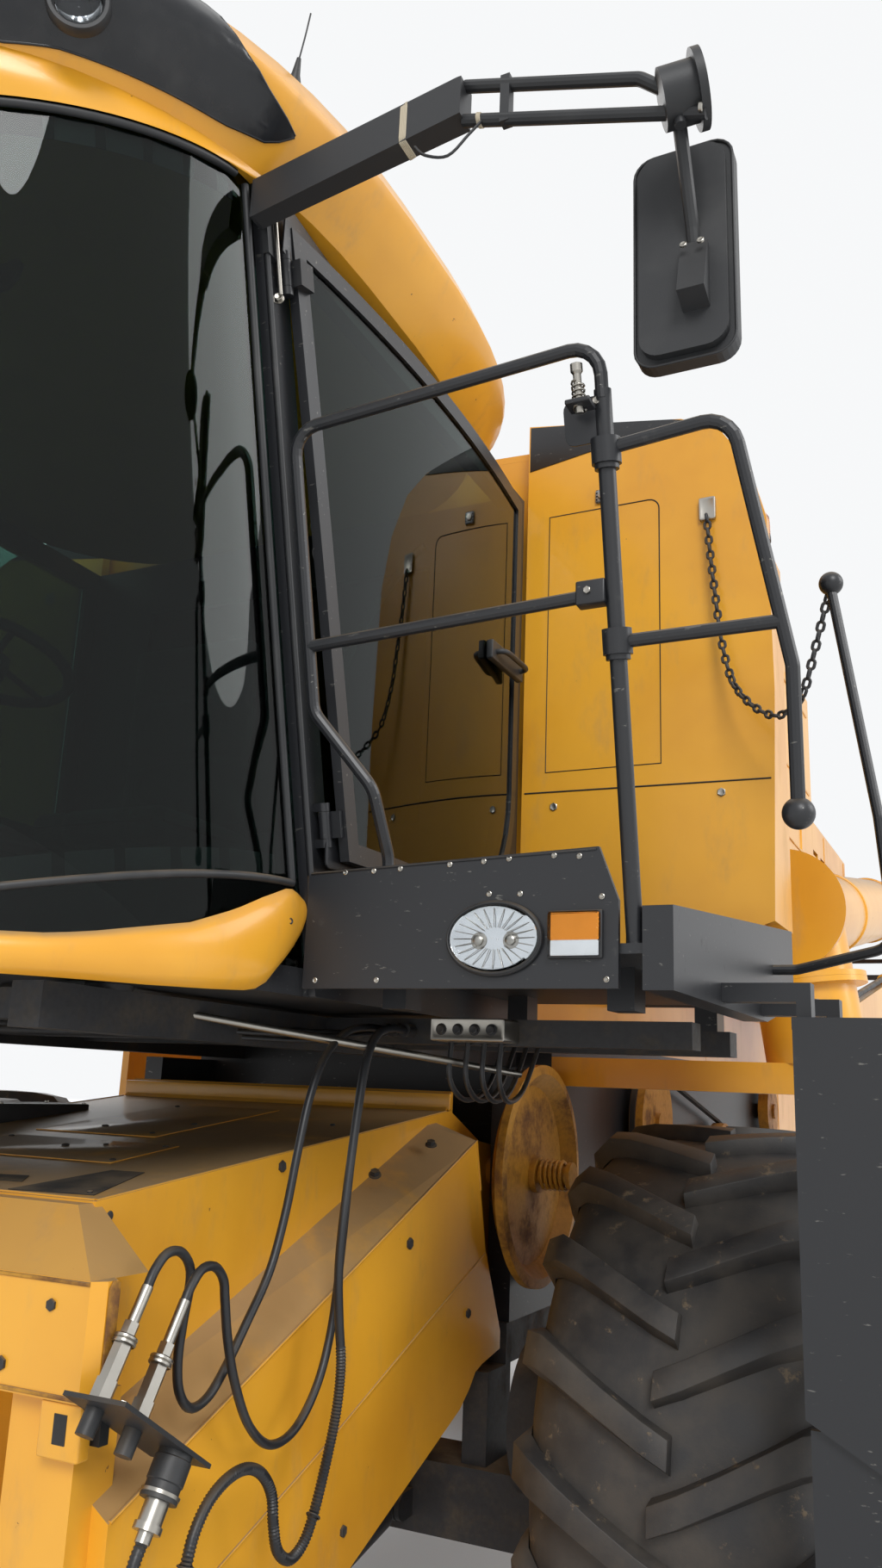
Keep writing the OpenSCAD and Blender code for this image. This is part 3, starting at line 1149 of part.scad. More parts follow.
placed() front_rim(-1);  // front_rim_right
placed() front_tyre(-1);  // front_tyre_right
placed() knuckle(1);  // knuckle_left
placed() knuckle(-1);  // knuckle_right
placed() steering_rod();
placed() rear_rim(1);  // rear_rim_left
placed() rear_tyre(1);  // rear_tyre_left
placed() rear_rim(-1);  // rear_rim_right
placed() rear_tyre(-1);  // rear_tyre_right
placed() cab_door();
placed() door_glass();
placed() ladder_fixed();
placed() ladder_folding();
placed() wing_rail();
placed() panel_rails();
placed() side_panel(1);  // side_panel_left
placed() side_panel(-1);  // side_panel_right
placed() tank_cover(1);  // tank_cover_left
placed() tank_cover(-1);  // tank_cover_right
placed() auger_tube();
placed() rotary_screen();
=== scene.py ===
import json
from math import acos, atan, copysign, cos, degrees, pi, radians, sin

import bmesh
import bpy
from mathutils import Matrix, Vector
from mathutils.bvhtree import BVHTree


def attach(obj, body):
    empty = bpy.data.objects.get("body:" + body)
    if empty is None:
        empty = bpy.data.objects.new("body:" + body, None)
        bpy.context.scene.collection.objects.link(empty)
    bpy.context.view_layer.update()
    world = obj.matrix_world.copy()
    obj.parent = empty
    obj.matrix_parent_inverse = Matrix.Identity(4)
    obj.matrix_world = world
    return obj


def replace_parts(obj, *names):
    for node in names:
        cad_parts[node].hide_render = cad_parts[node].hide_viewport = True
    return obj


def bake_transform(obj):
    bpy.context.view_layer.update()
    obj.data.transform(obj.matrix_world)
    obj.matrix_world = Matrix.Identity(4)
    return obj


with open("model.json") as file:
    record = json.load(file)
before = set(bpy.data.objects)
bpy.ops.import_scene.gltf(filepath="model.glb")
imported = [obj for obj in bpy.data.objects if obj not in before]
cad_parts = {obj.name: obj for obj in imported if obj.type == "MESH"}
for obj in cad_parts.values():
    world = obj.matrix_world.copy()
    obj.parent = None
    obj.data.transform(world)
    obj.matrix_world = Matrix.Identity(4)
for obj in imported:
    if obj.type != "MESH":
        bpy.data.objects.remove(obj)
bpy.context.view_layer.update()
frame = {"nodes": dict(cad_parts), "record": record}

nodes = frame["nodes"]
scene = bpy.context.scene
scene.view_settings.view_transform = "Standard"

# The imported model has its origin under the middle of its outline. Places below are in metres from the middle of the
# cab's width, the front face of the platform and the ground, as in the part's source.
ORIGIN = Vector((.0825, 3.475, 0.0))


def at(x, y, z):
    """A place on the machine, moved to the scene's origin."""
    return Vector((x, y, z)) - ORIGIN


SIDES = (1, "left"), (-1, "right")
LEFTWARDS, FORWARDS, UPWARDS, DOWNWARDS = (1, 0, 0), (0, -1, 0), (0, 0, 1), (0, 0, -1)


def linked(name, data):
    """A new object in the scene, for a mesh, a curve, a lamp or the camera."""
    made = bpy.data.objects.new(name, data)
    scene.collection.objects.link(made)
    return made


def axes(x, y, z, middle):
    """The matrix that turns X, Y and Z to three directions and moves the origin to a middle."""
    return Matrix.Translation(middle) @ Matrix((x, y, z)).transposed().to_4x4()


# Camera

def stand_camera():
    """The camera stands low in front of the left side, turned towards the cab, and leans a little."""
    yaw, pitch, roll = radians(26.3), radians(14.4), radians(2.3)
    focal_pixels, picture_pixels, sensor = 1368, 1821, 36
    right = Vector((cos(yaw), sin(yaw), 0))
    ahead = Vector((-sin(yaw) * cos(pitch), cos(yaw) * cos(pitch), sin(pitch)))
    up = right.cross(ahead)
    data = bpy.data.cameras.new("camera")
    data.sensor_fit = "VERTICAL"
    data.sensor_height = sensor
    data.lens = focal_pixels * sensor / picture_pixels
    data.clip_start, data.clip_end = .05, 300
    camera = linked("camera", data)
    camera.matrix_world = axes(right * cos(roll) + up * sin(roll), up * cos(roll) - right * sin(roll), -ahead,
        at(2.327, -2.176, 1.82))
    scene.camera = camera


stand_camera()


# Materials

class Value:
    """The output of a node. Arithmetic on it adds Math nodes."""

    def __init__(self, finish, socket):
        self.finish = finish
        self.socket = socket

    def math(self, operation, other=None, swapped=False):
        pair = [self] if other is None else [other, self] if swapped else [self, other]
        return self.finish.node("Math", {"operation": operation}, dict(enumerate(pair)))

    def __add__(self, other):
        return self.math("ADD", other)

    def __sub__(self, other):
        return self.math("SUBTRACT", other)

    def __rsub__(self, other):
        return self.math("SUBTRACT", other, swapped=True)

    def __mul__(self, other):
        return self.math("MULTIPLY", other)

    __radd__ = __add__
    __rmul__ = __mul__

    def over(self, low, high):
        """0 below low, 1 above high, and a soft step between."""
        return self.finish.node("MapRange", {"interpolation_type": "SMOOTHSTEP"},
            {"Value": self, "From Min": low, "From Max": high})

    def part(self, name):
        """X, Y or Z of a vector."""
        return self.finish.node("SeparateXYZ", {}, {0: self}, name)


class Finish:
    """A material, made from node expressions."""

    def __init__(self, name, **sockets):
        self.material = bpy.data.materials.new(name)
        self.material.use_nodes = True
        self.tree = self.material.node_tree
        self.shader = self.tree.nodes["Principled BSDF"]
        self.set(**sockets)
        self.place = self.node("TexCoord", out="Object")
        self.up = self.node("TexCoord", out="Normal").part("Z")

    def put(self, socket, value):
        if isinstance(value, Value):
            self.tree.links.new(value.socket, socket)
        elif socket.type == "RGBA" and len(value) == 3:
            socket.default_value = (*value, 1)
        else:
            socket.default_value = value

    def node(self, kind, settings=(), sockets=(), out=0):
        made = self.tree.nodes.new("ShaderNode" + kind)
        for name, value in dict(settings).items():
            if name == "stops":
                while len(made.color_ramp.elements) < len(value):
                    made.color_ramp.elements.new(.5)
                for element, (where, colour) in zip(made.color_ramp.elements, value):
                    element.position = where
                    element.color = (*colour, 1)
            else:
                setattr(made, name, value)
        for name, value in dict(sockets).items():
            self.put(made.inputs[name], value)
        return Value(self, made.outputs[out])

    def set(self, **sockets):
        for name, value in sockets.items():
            self.put(self.shader.inputs[name.replace("_", " ").title().replace("Ior", "IOR")], value)

    def noise(self, scale, detail=3, roughness=.55, stretch=(1, 1, 1)):
        where = self.node("Mapping", {}, {"Vector": self.place, "Scale": stretch})
        return self.node("TexNoise", {}, {"Vector": where, "Scale": scale, "Detail": detail,
            "Roughness": roughness}, "Fac")

    def mix(self, share, first, second):
        """first where share is 0, second where it is 1. Both are colours."""
        made = self.tree.nodes.new("ShaderNodeMix")
        made.data_type = "RGBA"
        for socket, value in zip((made.inputs[0], made.inputs[6], made.inputs[7]), (share, first, second)):
            self.put(socket, value)
        return Value(self, made.outputs[2])

    def bump(self, height, distance, strength=.5):
        self.set(normal=self.node("Bump", {}, {"Height": height, "Distance": distance, "Strength": strength},
            "Normal"))


def srgb(*levels):
    """A colour as a picture shows it, from 0 to 255, as the linear colour that a shader takes."""
    return tuple(((c / 255 + .055) / 1.055) ** 2.4 if c > 10 else c / 255 / 12.92 for c in levels)


DUST = srgb(150, 128, 98)
RUST = srgb(112, 62, 34)
BARE = srgb(150, 148, 142)


def paint(name, colour, shade, roughness=.32, dust=.88, chips=RUST, chipped=.72):
    """Sprayed paint that has gone dull in patches, with dust lying on what faces up and a few chips."""
    f = Finish(name, specular_ior_level=.5)
    patches = f.noise(1.3, 4)
    grime = f.noise(9, 5, .65, (1, 1, .35))
    chip = f.noise(38, 4, .7).over(chipped, chipped + .03)
    lying = f.up.over(.35, .95) * f.noise(4.5, 5, .6).over(.1, .5) * dust
    film = grime.over(.52, .85) * .35
    base = f.mix(patches.over(.35, .7), colour, shade)
    base = f.mix(film, base, DUST)
    base = f.mix(lying, base, DUST)
    base = f.mix(chip, base, chips)
    f.set(base_color=base, roughness=(lying * .4 + film * .5 + chip * .3 + patches * .12 + (roughness - .06)),
        coat_weight=.25, coat_roughness=.12)
    f.bump(f.noise(160, 2) * .4 + chip * -1.0 + lying * .5, .0006, .35)
    return f.material


def scratched(name, colour, metal_show=.66, roughness=.38, dust=.6):
    """Black paint on steel, rubbed through in fine scratches and scuffs."""
    f = Finish(name)
    scratch = f.noise(90, 3, .6, (.3, 1, 1)).over(metal_show, metal_show + .06)
    scuff = f.noise(14, 5, .75).over(.62, .8)
    lying = f.up.over(.3, .9) * f.noise(6, 5, .6).over(.2, .65) * dust
    base = f.mix(scuff * .35, colour, srgb(92, 90, 86))
    base = f.mix(scratch * .5, base, BARE)
    base = f.mix(lying, base, srgb(128, 112, 90))
    f.set(base_color=base, roughness=scuff * .25 + lying * .35 + roughness, metallic=scratch * .8)
    f.bump(f.noise(120, 3) * .5 - scratch, .0005, .3)
    return f.material


def cast(name, colour, spot, share, roughness=.6, metal=0.0):
    """A rough casting or worn iron, mottled with a second colour."""
    f = Finish(name)
    mottle = f.noise(6, 6, .7).over(share - .12, share + .12)
    fine = f.noise(70, 4, .6)
    base = f.mix(fine.over(.3, .8) * .35, f.mix(mottle, colour, spot), tuple(c * .45 for c in colour))
    lying = f.up.over(.4, .95) * f.noise(5, 4).over(.3, .65) * .6
    f.set(base_color=f.mix(lying, base, DUST), roughness=mottle * .25 + fine * .15 + roughness - .1,
        metallic=metal)
    f.bump(fine, .0012, .5)
    return f.material


def steel(name, colour, roughness, mark=.15):
    """Bare or plated steel with fine marks."""
    f = Finish(name, metallic=1.0)
    fine = f.noise(90, 4, .6)
    cloud = f.noise(7, 4)
    f.set(base_color=f.mix(cloud.over(.35, .75) * .5, colour, tuple(c * .62 for c in colour)),
        roughness=fine * mark + roughness)
    f.bump(fine, .0003, .25)
    return f.material


def plastic(name, colour, roughness=.5, grain=420, dust=.35):
    """Moulded plastic with a fine grain and a little dust."""
    f = Finish(name)
    fine = f.noise(grain, 2)
    lying = f.up.over(.2, .9) * f.noise(8, 4).over(.3, .7) * dust
    pale = f.noise(3.5, 4, .6).over(.45, .8) * .16
    f.set(base_color=f.mix(lying, f.mix(pale, colour, srgb(120, 118, 114)), DUST), roughness=fine * .12
        + lying * .3 + roughness - .06)
    f.bump(fine, .0004, .35)
    return f.material


def rubber_tread(name):
    """Tyre rubber, grey with dry dust on the lugs and darker between them."""
    f = Finish(name)
    dry = f.noise(7, 5, .6).over(.3, .75)
    cloud = f.noise(2.2, 4).over(.35, .7)
    fine = f.noise(180, 3)
    base = f.mix(dry * .55, srgb(38, 38, 40), srgb(92, 84, 74))
    base = f.mix(cloud * .3, base, srgb(70, 66, 62))
    mud = f.noise(16, 5, .7).over(.6, .72)
    base = f.mix(mud * .5, base, DUST)
    f.set(base_color=base, roughness=dry * .2 + mud * .15 + .48)
    f.bump(fine * .5 + mud, .0015, .5)
    return f.material


def glass(name, colour, roughness=0.0, smear=.25):
    """Tinted glass with a dusty film on it."""
    f = Finish(name, transmission_weight=1.0, ior=1.3, roughness=roughness)
    film = f.noise(3, 5, .7, (1, 1, .4)).over(.45, .85)
    f.set(base_color=f.mix(film * smear, colour, tuple(c * .7 for c in colour)))
    return f.material


def lens(name, colour, ribs=0):
    """A moulded lamp lens, with fine ribs inside."""
    f = Finish(name, base_color=colour, transmission_weight=1.0, ior=1.2, roughness=.02)
    if ribs:
        wave = f.node("TexWave", {"bands_direction": "Z"},
            {"Vector": f.place, "Scale": ribs, "Distortion": 0.0}, "Fac")
        f.bump(wave, .002, .5)
    return f.material


def woven(name, colour, thread, threads=150):
    """A woven cover: two sets of threads over and under each other."""
    f = Finish(name, sheen_weight=.25, sheen_roughness=.5)
    across, along, upright = (f.node("TexWave", {"bands_direction": way}, {"Vector": f.place, "Scale": threads},
        "Fac") for way in "XYZ")
    weave = across * along + upright * .5
    worn = f.noise(9, 4).over(.4, .75)
    f.set(base_color=f.mix(weave * .4 + worn * .25, colour, thread), roughness=.85)
    f.bump(weave, .0008, .6)
    return f.material


def perforated(name, colour):
    """Sheet steel with rows of small round holes, painted near black as the shade inside them."""
    f = Finish(name, metallic=.9)
    cells = f.node("TexVoronoi", {"feature": "F1"}, {"Vector": f.place, "Scale": 85, "Randomness": 0.0},
        "Distance")
    shaded_holes = 1 - cells.over(.26, .31)
    # Painted shade: the holes are coloured near black, for the dark inside seen through them.
    f.set(base_color=f.mix(shaded_holes, colour, srgb(12, 12, 12)), roughness=shaded_holes * .3 + .42)
    f.bump(shaded_holes * -1.0, .001, .6)
    return f.material


finishes = {name: maker(name, *settings) for name, maker, *settings in (
    ("yellow_paint", paint, srgb(238, 172, 48), srgb(220, 152, 40)),
    ("black_metal", scratched, srgb(34, 35, 38)),
    ("dark_iron", cast, srgb(44, 44, 46), srgb(74, 66, 56), .58),
    ("bright_steel", steel, srgb(172, 168, 160), .24),
    ("grey_steel", perforated, srgb(150, 152, 154)),
    ("rusty_steel", cast, srgb(92, 80, 72), RUST, .5, .7, .3),
    ("worn_yellow_iron", cast, srgb(196, 140, 40), srgb(104, 66, 36), .55, .55),
    ("black_plastic", plastic, srgb(38, 39, 41)),
    ("seat_fabric", woven, srgb(52, 54, 60), srgb(88, 90, 98)),
    ("tinted_glass", glass, srgb(80, 108, 101)),
    ("clear_lamp", lens, srgb(244, 246, 248)),
    ("amber_lamp", lens, srgb(252, 158, 60), 40),
    ("red_lamp", lens, srgb(190, 20, 16), 40),
    ("belt_rubber", plastic, srgb(34, 33, 32), .75, 200),
    ("hose_rubber", plastic, srgb(30, 31, 34), .42, 300, .25),
    ("tyre_rubber", rubber_tread),
)}

visor_black = plastic("visor_black", srgb(22, 24, 28), .16, 60, .2)
pale_tie = plastic("pale_tie", srgb(186, 174, 150), .6)
mirror_bright = steel("mirror_bright", srgb(225, 228, 230), .04, mark=.04)

slot_of = {part["node"]: part["material_slot"] for part in frame["record"]["subparts"]}
for name, node in nodes.items():
    node.data.materials.clear()
    node.data.materials.append(finishes[slot_of[name]])

# Modelling helpers. A piece is modelled in the machine's own place, and moved into the scene's at the end.

MERGE = .00005


def fresh():
    bpy.ops.object.select_all(action="DESELECT")


def only(piece):
    """Makes a piece the one that the next operator works on."""
    fresh()
    piece.select_set(True)
    bpy.context.view_layer.objects.active = piece
    return piece


def pick(piece, test):
    """Opens a piece in edit mode with the faces selected whose middle and normal pass a test."""
    only(piece)
    bpy.ops.object.mode_set(mode="EDIT")
    bpy.ops.mesh.select_mode(type="FACE")
    bpy.ops.mesh.select_all(action="DESELECT")
    mesh = bmesh.from_edit_mesh(piece.data)
    for face in mesh.faces:
        face.select_set(test(face.calc_center_median(), face.normal))
    bmesh.update_edit_mesh(piece.data)


def edit_all(piece):
    """Opens a piece in edit mode with all of it selected."""
    only(piece)
    bpy.ops.object.mode_set(mode="EDIT")
    bpy.ops.mesh.select_all(action="SELECT")


def done_editing():
    bpy.ops.object.mode_set(mode="OBJECT")


def outward(piece):
    """Makes the faces of a piece point outwards."""
    edit_all(piece)
    bpy.ops.mesh.normals_make_consistent(inside=False)
    done_editing()
    return piece


def raised(piece, thick):
    """Gives a flat piece a thickness, upwards."""
    pick(piece, lambda place, normal: True)
    bpy.ops.mesh.extrude_region_move(TRANSFORM_OT_translate={"value": (0, 0, thick)})
    done_editing()
    return outward(piece)


def finish_with(piece, kind, **settings):
    """Adds a modifier and applies it."""
    only(piece)
    modifier = piece.modifiers.new(kind.lower(), kind)
    for name, value in settings.items():
        setattr(modifier, name, value)
    bpy.ops.object.modifier_apply(modifier=modifier.name)
    return piece


def broken_edges(piece, width, segments=2, angle=40):
    """Rounds the edges of a piece that are sharper than an angle."""
    return finish_with(piece, "BEVEL", width=width, segments=segments, limit_method="ANGLE",
        angle_limit=radians(angle))


def settle(piece, name, slot, body="machine", smooth=32, finish=None):
    """Applies a piece's place, and gives it its name, finish and body."""
    only(piece)
    bpy.ops.object.transform_apply(location=True, rotation=True, scale=True)
    piece.name = piece.data.name = name
    piece.data.materials.clear()
    piece.data.materials.append(finish or finishes[slot])
    bpy.ops.object.shade_smooth_by_angle(angle=radians(smooth))
    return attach(piece, body) if body else piece


def from_machine(piece):
    """Moves a mesh from the machine's place to the scene's."""
    piece.data.transform(Matrix.Translation(-ORIGIN))
    return piece


def mesh_piece(name, points, faces, edges=()):
    mesh = bpy.data.meshes.new(name)
    mesh.from_pydata([tuple(p) for p in points], edges, faces)
    return linked(name, mesh)


def joined(name, meshes):
    """One piece from many meshes, which are used up."""
    work = bmesh.new()
    for mesh in meshes:
        work.from_mesh(mesh)
        bpy.data.meshes.remove(mesh)
    mesh = bpy.data.meshes.new(name)
    work.to_mesh(mesh)
    work.free()
    return linked(name, mesh)


def turned_to(point, way):
    """The matrix that moves the origin to a point and turns Z to a direction."""
    return Matrix.Translation(point) @ Vector(way).to_track_quat("Z", "Y").to_matrix().to_4x4()


def angles(count):
    """Angles spaced evenly round a full turn."""
    return [2 * pi * k / count for k in range(count)]


def looped(run):
    """A run that ends where it starts."""
    return run + [run[0]]


def hoop(middle, u, v, count):
    """A closed ring of points round a middle. Its radii are two vectors."""
    return looped([Vector(middle) + Vector(u) * cos(a) + Vector(v) * sin(a) for a in angles(count)])


def skin(name, rows, slot, body, thick, smooth=40, finish=None, closed=False):
    """A sheet through rows of points, with a thickness, and with its faces made to point outwards."""
    n = len(rows[0])
    last = n if closed else n - 1
    faces = [(i * n + k, i * n + (k + 1) % n, (i + 1) * n + (k + 1) % n, (i + 1) * n + k)
        for i in range(len(rows) - 1) for k in range(last)]
    piece = mesh_piece(name, [p for row in rows for p in row], faces)
    if thick:
        finish_with(piece, "SOLIDIFY", thickness=thick, offset=0, use_even_offset=True)
    return settle(from_machine(outward(piece)), name, slot, body, smooth, finish)


def drawn(name, runs, radius, slot, sides=3, finish=None, radii=None, body="machine"):
    """Round rods, beads, cables or seams along runs of points. A run that ends where it starts is closed."""
    data = bpy.data.curves.new(name, "CURVE")
    data.dimensions = "3D"
    data.bevel_depth = radius
    data.bevel_resolution = sides
    data.use_fill_caps = True
    for run in runs:
        run = [Vector(p) for p in run]
        ring = (run[0] - run[-1]).length < 1e-6
        run = run[:-1] if ring else run
        spline = data.splines.new("POLY")
        spline.points.add(len(run) - 1)
        spline.use_cyclic_u = ring
        for k, p in enumerate(run):
            spline.points[k].co = (*p, 1)
            spline.points[k].radius = radii[k] if radii else 1
    only(linked(name, data))
    bpy.ops.object.convert(target="MESH")
    return settle(from_machine(bpy.context.object), name, slot, body, 60, finish)


def spread(name, pattern, places, slot, body="machine"):
    """Copies a pattern to each place, turned to face outwards there, and joins the copies.
    A place is a point, a direction and a size."""
    copies = []
    for point, way, size in places:
        copies.append(pattern.data.copy())
        copies[-1].transform(turned_to(point, way) @ Matrix.Scale(size, 4))
    return settle(from_machine(joined(name, copies)), name, slot, body, 35)


def both(places):
    """The same places on the left and on the right."""
    return [((s * x, y, z), (s * a, b, c), size) for (x, y, z), (a, b, c), size in places for s in (1, -1)]


def turned(name, profile, point, way, slot, steps=48, smooth=32, finish=None, body="machine"):
    """A piece spun from a profile of radius and height round an axis that starts at a point."""
    piece = mesh_piece(name, [(r, 0, h) for r, h in profile], [], [(k, k + 1) for k in range(len(profile) - 1)])
    edit_all(piece)
    bpy.ops.mesh.spin(steps=steps, angle=2 * pi, center=(0, 0, 0), axis=(0, 0, 1))
    bpy.ops.mesh.select_all(action="SELECT")
    bpy.ops.mesh.remove_doubles(threshold=MERGE)
    bpy.ops.mesh.normals_make_consistent(inside=False)
    done_editing()
    piece.data.transform(turned_to(point, way))
    return settle(from_machine(piece), name, slot, body, smooth, finish)


def plate(name, outline, thick, middle, across, facing, slot, edge=.0012, finish=None, body="machine"):
    """A flat plate cut to an outline, in metres along and up from its middle, with its edges broken."""
    piece = raised(mesh_piece(name, [(u, v, 0) for u, v in outline], [tuple(range(len(outline)))]), thick)
    broken_edges(piece, edge)
    z = Vector(facing).normalized()
    x = (Vector(across) - z * z.dot(Vector(across))).normalized()
    piece.data.transform(axes(x, z.cross(x), z, middle))
    return settle(from_machine(piece), name, slot, body, 32, finish)


def round_box(w, h, r, steps=5):
    """The outline of a rectangle with round corners, about its middle."""
    return [(sx * (w / 2 - r) + r * cos(a), sy * (h / 2 - r) + r * sin(a))
        for sx, sy, start in ((1, 1, 0), (-1, 1, 90), (-1, -1, 180), (1, -1, 270))
        for a in (radians(start + 90 * k / steps) for k in range(steps + 1))]


def block(lo, hi):
    """A plain box between two corners."""
    fresh()
    bpy.ops.mesh.primitive_cube_add(size=1, location=(lo + hi) / 2)
    box = bpy.context.object
    box.scale = hi - lo
    bpy.ops.object.transform_apply(location=True, rotation=True, scale=True)
    return box


def housing(name, lo, hi, edge, slot, inset=0.0, side=None, finish=None, body="machine"):
    """A small moulded box with round edges. One of its sides can be sunk a little."""
    box = block(Vector(lo), Vector(hi))
    if inset:
        way = Vector(side)
        pick(box, lambda middle, normal: normal.dot(way) > .9)
        bpy.ops.mesh.inset(thickness=inset)
        bpy.ops.transform.translate(value=way * -inset * .5)
        done_editing()
    broken_edges(box, edge, 3)
    return settle(from_machine(box), name, slot, body, 32, finish)


def fastener(sides, radius, depth, z, *steps):
    """A head that faces up. Each step insets its top face and lifts or sinks it."""
    fresh()
    bpy.ops.mesh.primitive_cylinder_add(vertices=sides, radius=radius, depth=depth, location=(0, 0, z))
    head = bpy.context.object
    pick(head, lambda middle, normal: normal.z > .9)
    for inset, lift in steps:
        bpy.ops.mesh.inset(thickness=inset)
        bpy.ops.transform.translate(value=(0, 0, lift))
    return head


def hexagon_bolt():
    """A bolt's head on its washer, 1 across and facing up."""
    bolt = fastener(6, .55, .42, .33, (.08, .06), (.16, -.05))
    bpy.ops.mesh.select_all(action="DESELECT")
    bpy.ops.mesh.primitive_cylinder_add(vertices=18, radius=.72, depth=.14, location=(0, 0, .05))
    done_editing()
    return bolt


def round_screw():
    """A screw's round head with a socket, 1 across and facing up."""
    screw = fastener(16, .5, .3, .13, (.12, .07), (.16, -.16))
    done_editing()
    return screw


def chain_link():
    """A long link, 1 long, lying along X."""
    fresh()
    bpy.ops.mesh.primitive_torus_add(major_segments=14, minor_segments=6, major_radius=.26, minor_radius=.14)
    link = bpy.context.object
    only(link)
    bpy.ops.object.mode_set(mode="EDIT")
    bpy.ops.mesh.select_mode(type="VERT")
    bpy.ops.mesh.select_all(action="DESELECT")
    mesh = bmesh.from_edit_mesh(link.data)
    for vertex in mesh.verts:
        vertex.select_set(vertex.co.x > .01)
    mesh.select_flush_mode()
    bmesh.update_edit_mesh(link.data)
    bpy.ops.transform.translate(value=(.24, 0, 0))
    bpy.ops.mesh.select_all(action="SELECT")
    bpy.ops.transform.translate(value=(-.12, 0, 0))
    done_editing()
    return link


def smooth_route(points, steps):
    """A smooth curve through points, with steps between each two."""
    points = [Vector(p) for p in points]
    curve = []
    for i in range(len(points) - 1):
        a, b = points[max(i - 1, 0)], points[i]
        c, d = points[i + 1], points[min(i + 2, len(points) - 1)]
        for k in range(steps):
            t = k / steps
            curve.append(.5 * (2 * b + (c - a) * t + (2 * a - 5 * b + 4 * c - d) * t * t
                + (3 * b - a - 3 * c + d) * t ** 3))
    return curve + [points[-1]]


def evenly(points, spacing):
    """Points a fixed distance apart along a line."""
    line = [Vector(p) for p in points]
    steps = [(b - a).length for a, b in zip(line, line[1:])]
    count = max(2, round(sum(steps) / spacing))
    gap = sum(steps) / count
    spots, walked, k = [], 0.0, 0
    for i in range(count + 1):
        goal = min(i * gap, sum(steps) - 1e-9)
        while walked + steps[k] < goal:
            walked += steps[k]
            k += 1
        spots.append(line[k].lerp(line[k + 1], (goal - walked) / steps[k]))
    return spots


trees = {}


def struck(node, start, way):
    """Where a line from a point meets a solid, and which way its surface faces there."""
    if node not in trees:
        mesh = nodes[node].data
        trees[node] = BVHTree.FromPolygons([v.co for v in mesh.vertices], [p.vertices for p in mesh.polygons])
    place, normal, _, _ = trees[node].ray_cast(Vector(start) - ORIGIN, Vector(way).normalized())
    if place is None:
        return None
    if normal.dot(Vector(way)) > 0:
        normal = -normal
    return place + ORIGIN, normal


def smoothed(node, name, angle):
    """A copy of a solid with its corners merged and shaded as one curved surface, in the solid's place."""
    copy = linked(name, nodes[node].data.copy())
    edit_all(copy)
    bpy.ops.mesh.remove_doubles(threshold=MERGE)
    done_editing()
    bpy.ops.mesh.customdata_custom_splitnormals_clear()
    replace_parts(settle(copy, name, slot_of[node], "machine", angle), node)


PLASTIC, BLACK, BRIGHT, IRON, YELLOW = "black_plastic", "black_metal", "bright_steel", "dark_iron", "yellow_paint"
GAP_BLACK, CLEAR, WORN, HOSE = "belt_rubber", "clear_lamp", "worn_yellow_iron", "hose_rubber"
HEX = hexagon_bolt()
SCREW = round_screw()
LINK = chain_link()

# Cords: three hoses from the glands under the platform to the couplings. The routes are the source's, in metres.

SHORT_ROUTE = [(-.299, 1.443), (-.283, 1.469), (-.252, 1.494), (-.212, 1.494), (-.18, 1.468), (-.172, 1.433),
    (-.184, 1.365), (-.19, 1.3), (-.178, 1.243), (-.14, 1.206), (-.088, 1.212), (-.04, 1.25), (.03, 1.33),
    (.105, 1.425), (.152, 1.54), (.185, 1.665), (.222, 1.785), (.28, 1.88), (.37, 1.94), (.47, 1.957),
    (.56, 1.957)]
LONG_ROUTE = [(-.22, 1.411), (-.205, 1.435), (-.175, 1.461), (-.134, 1.461), (-.102, 1.434), (-.092, 1.397),
    (-.072, 1.32), (-.036, 1.235), (.024, 1.146), (.106, 1.092), (.2, 1.1), (.282, 1.17), (.33, 1.275),
    (.354, 1.415), (.37, 1.56), (.39, 1.715), (.415, 1.85), (.455, 1.925), (.51, 1.955), (.56, 1.957)]
RIBBED_ROUTE = [(-.327, 1.038), (-.343, 1.012), (-.354, .971), (-.34, .925), (-.302, .896), (-.254, .893),
    (-.213, .919), (-.195, .962), (-.176, 1.014), (-.138, 1.056), (-.083, 1.08), (-.021, 1.083), (.035, 1.06),
    (.076, 1.014), (.09, .957), (.112, .903), (.16, .873), (.211, .888), (.248, .936), (.29, 1.03), (.32, 1.12),
    (.328, 1.21), (.31, 1.3), (.296, 1.39), (.298, 1.48), (.318, 1.62), (.345, 1.77), (.374, 1.88),
    (.42, 1.938), (.49, 1.957), (.56, 1.957)]


def hose(name, node, route, x, diameter, ribs=0.0):
    """A hose from its gland to its coupling, which the feeder carries.
    Its sleeve has ribs below the height given."""
    path = evenly(smooth_route([(x, y, z) for y, z in reversed(route)], 8), .0035 if ribs else .012)
    radii = [1.0 if not ribs or p.z < ribs and k % 2 else .82 if p.z < ribs else .86
        for k, p in enumerate(path)]
    tube = drawn(name, [path], diameter / 2, HOSE, 3, radii=radii, body=None)
    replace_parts(tube, node)
    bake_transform(tube)
    return tube, [p - ORIGIN for p in path]


def ties(name, places, radius):
    """Cable ties round a hose."""
    runs = [evenly(hoop(c, Vector(u) * radius, Vector(v) * radius, 12), .004) for c, u, v in places]
    piece = drawn(name, runs, .0022, PLASTIC, 2, body=None)
    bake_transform(piece)
    return piece


def run_length(points):
    return sum((b - a).length for a, b in zip(points, points[1:]))


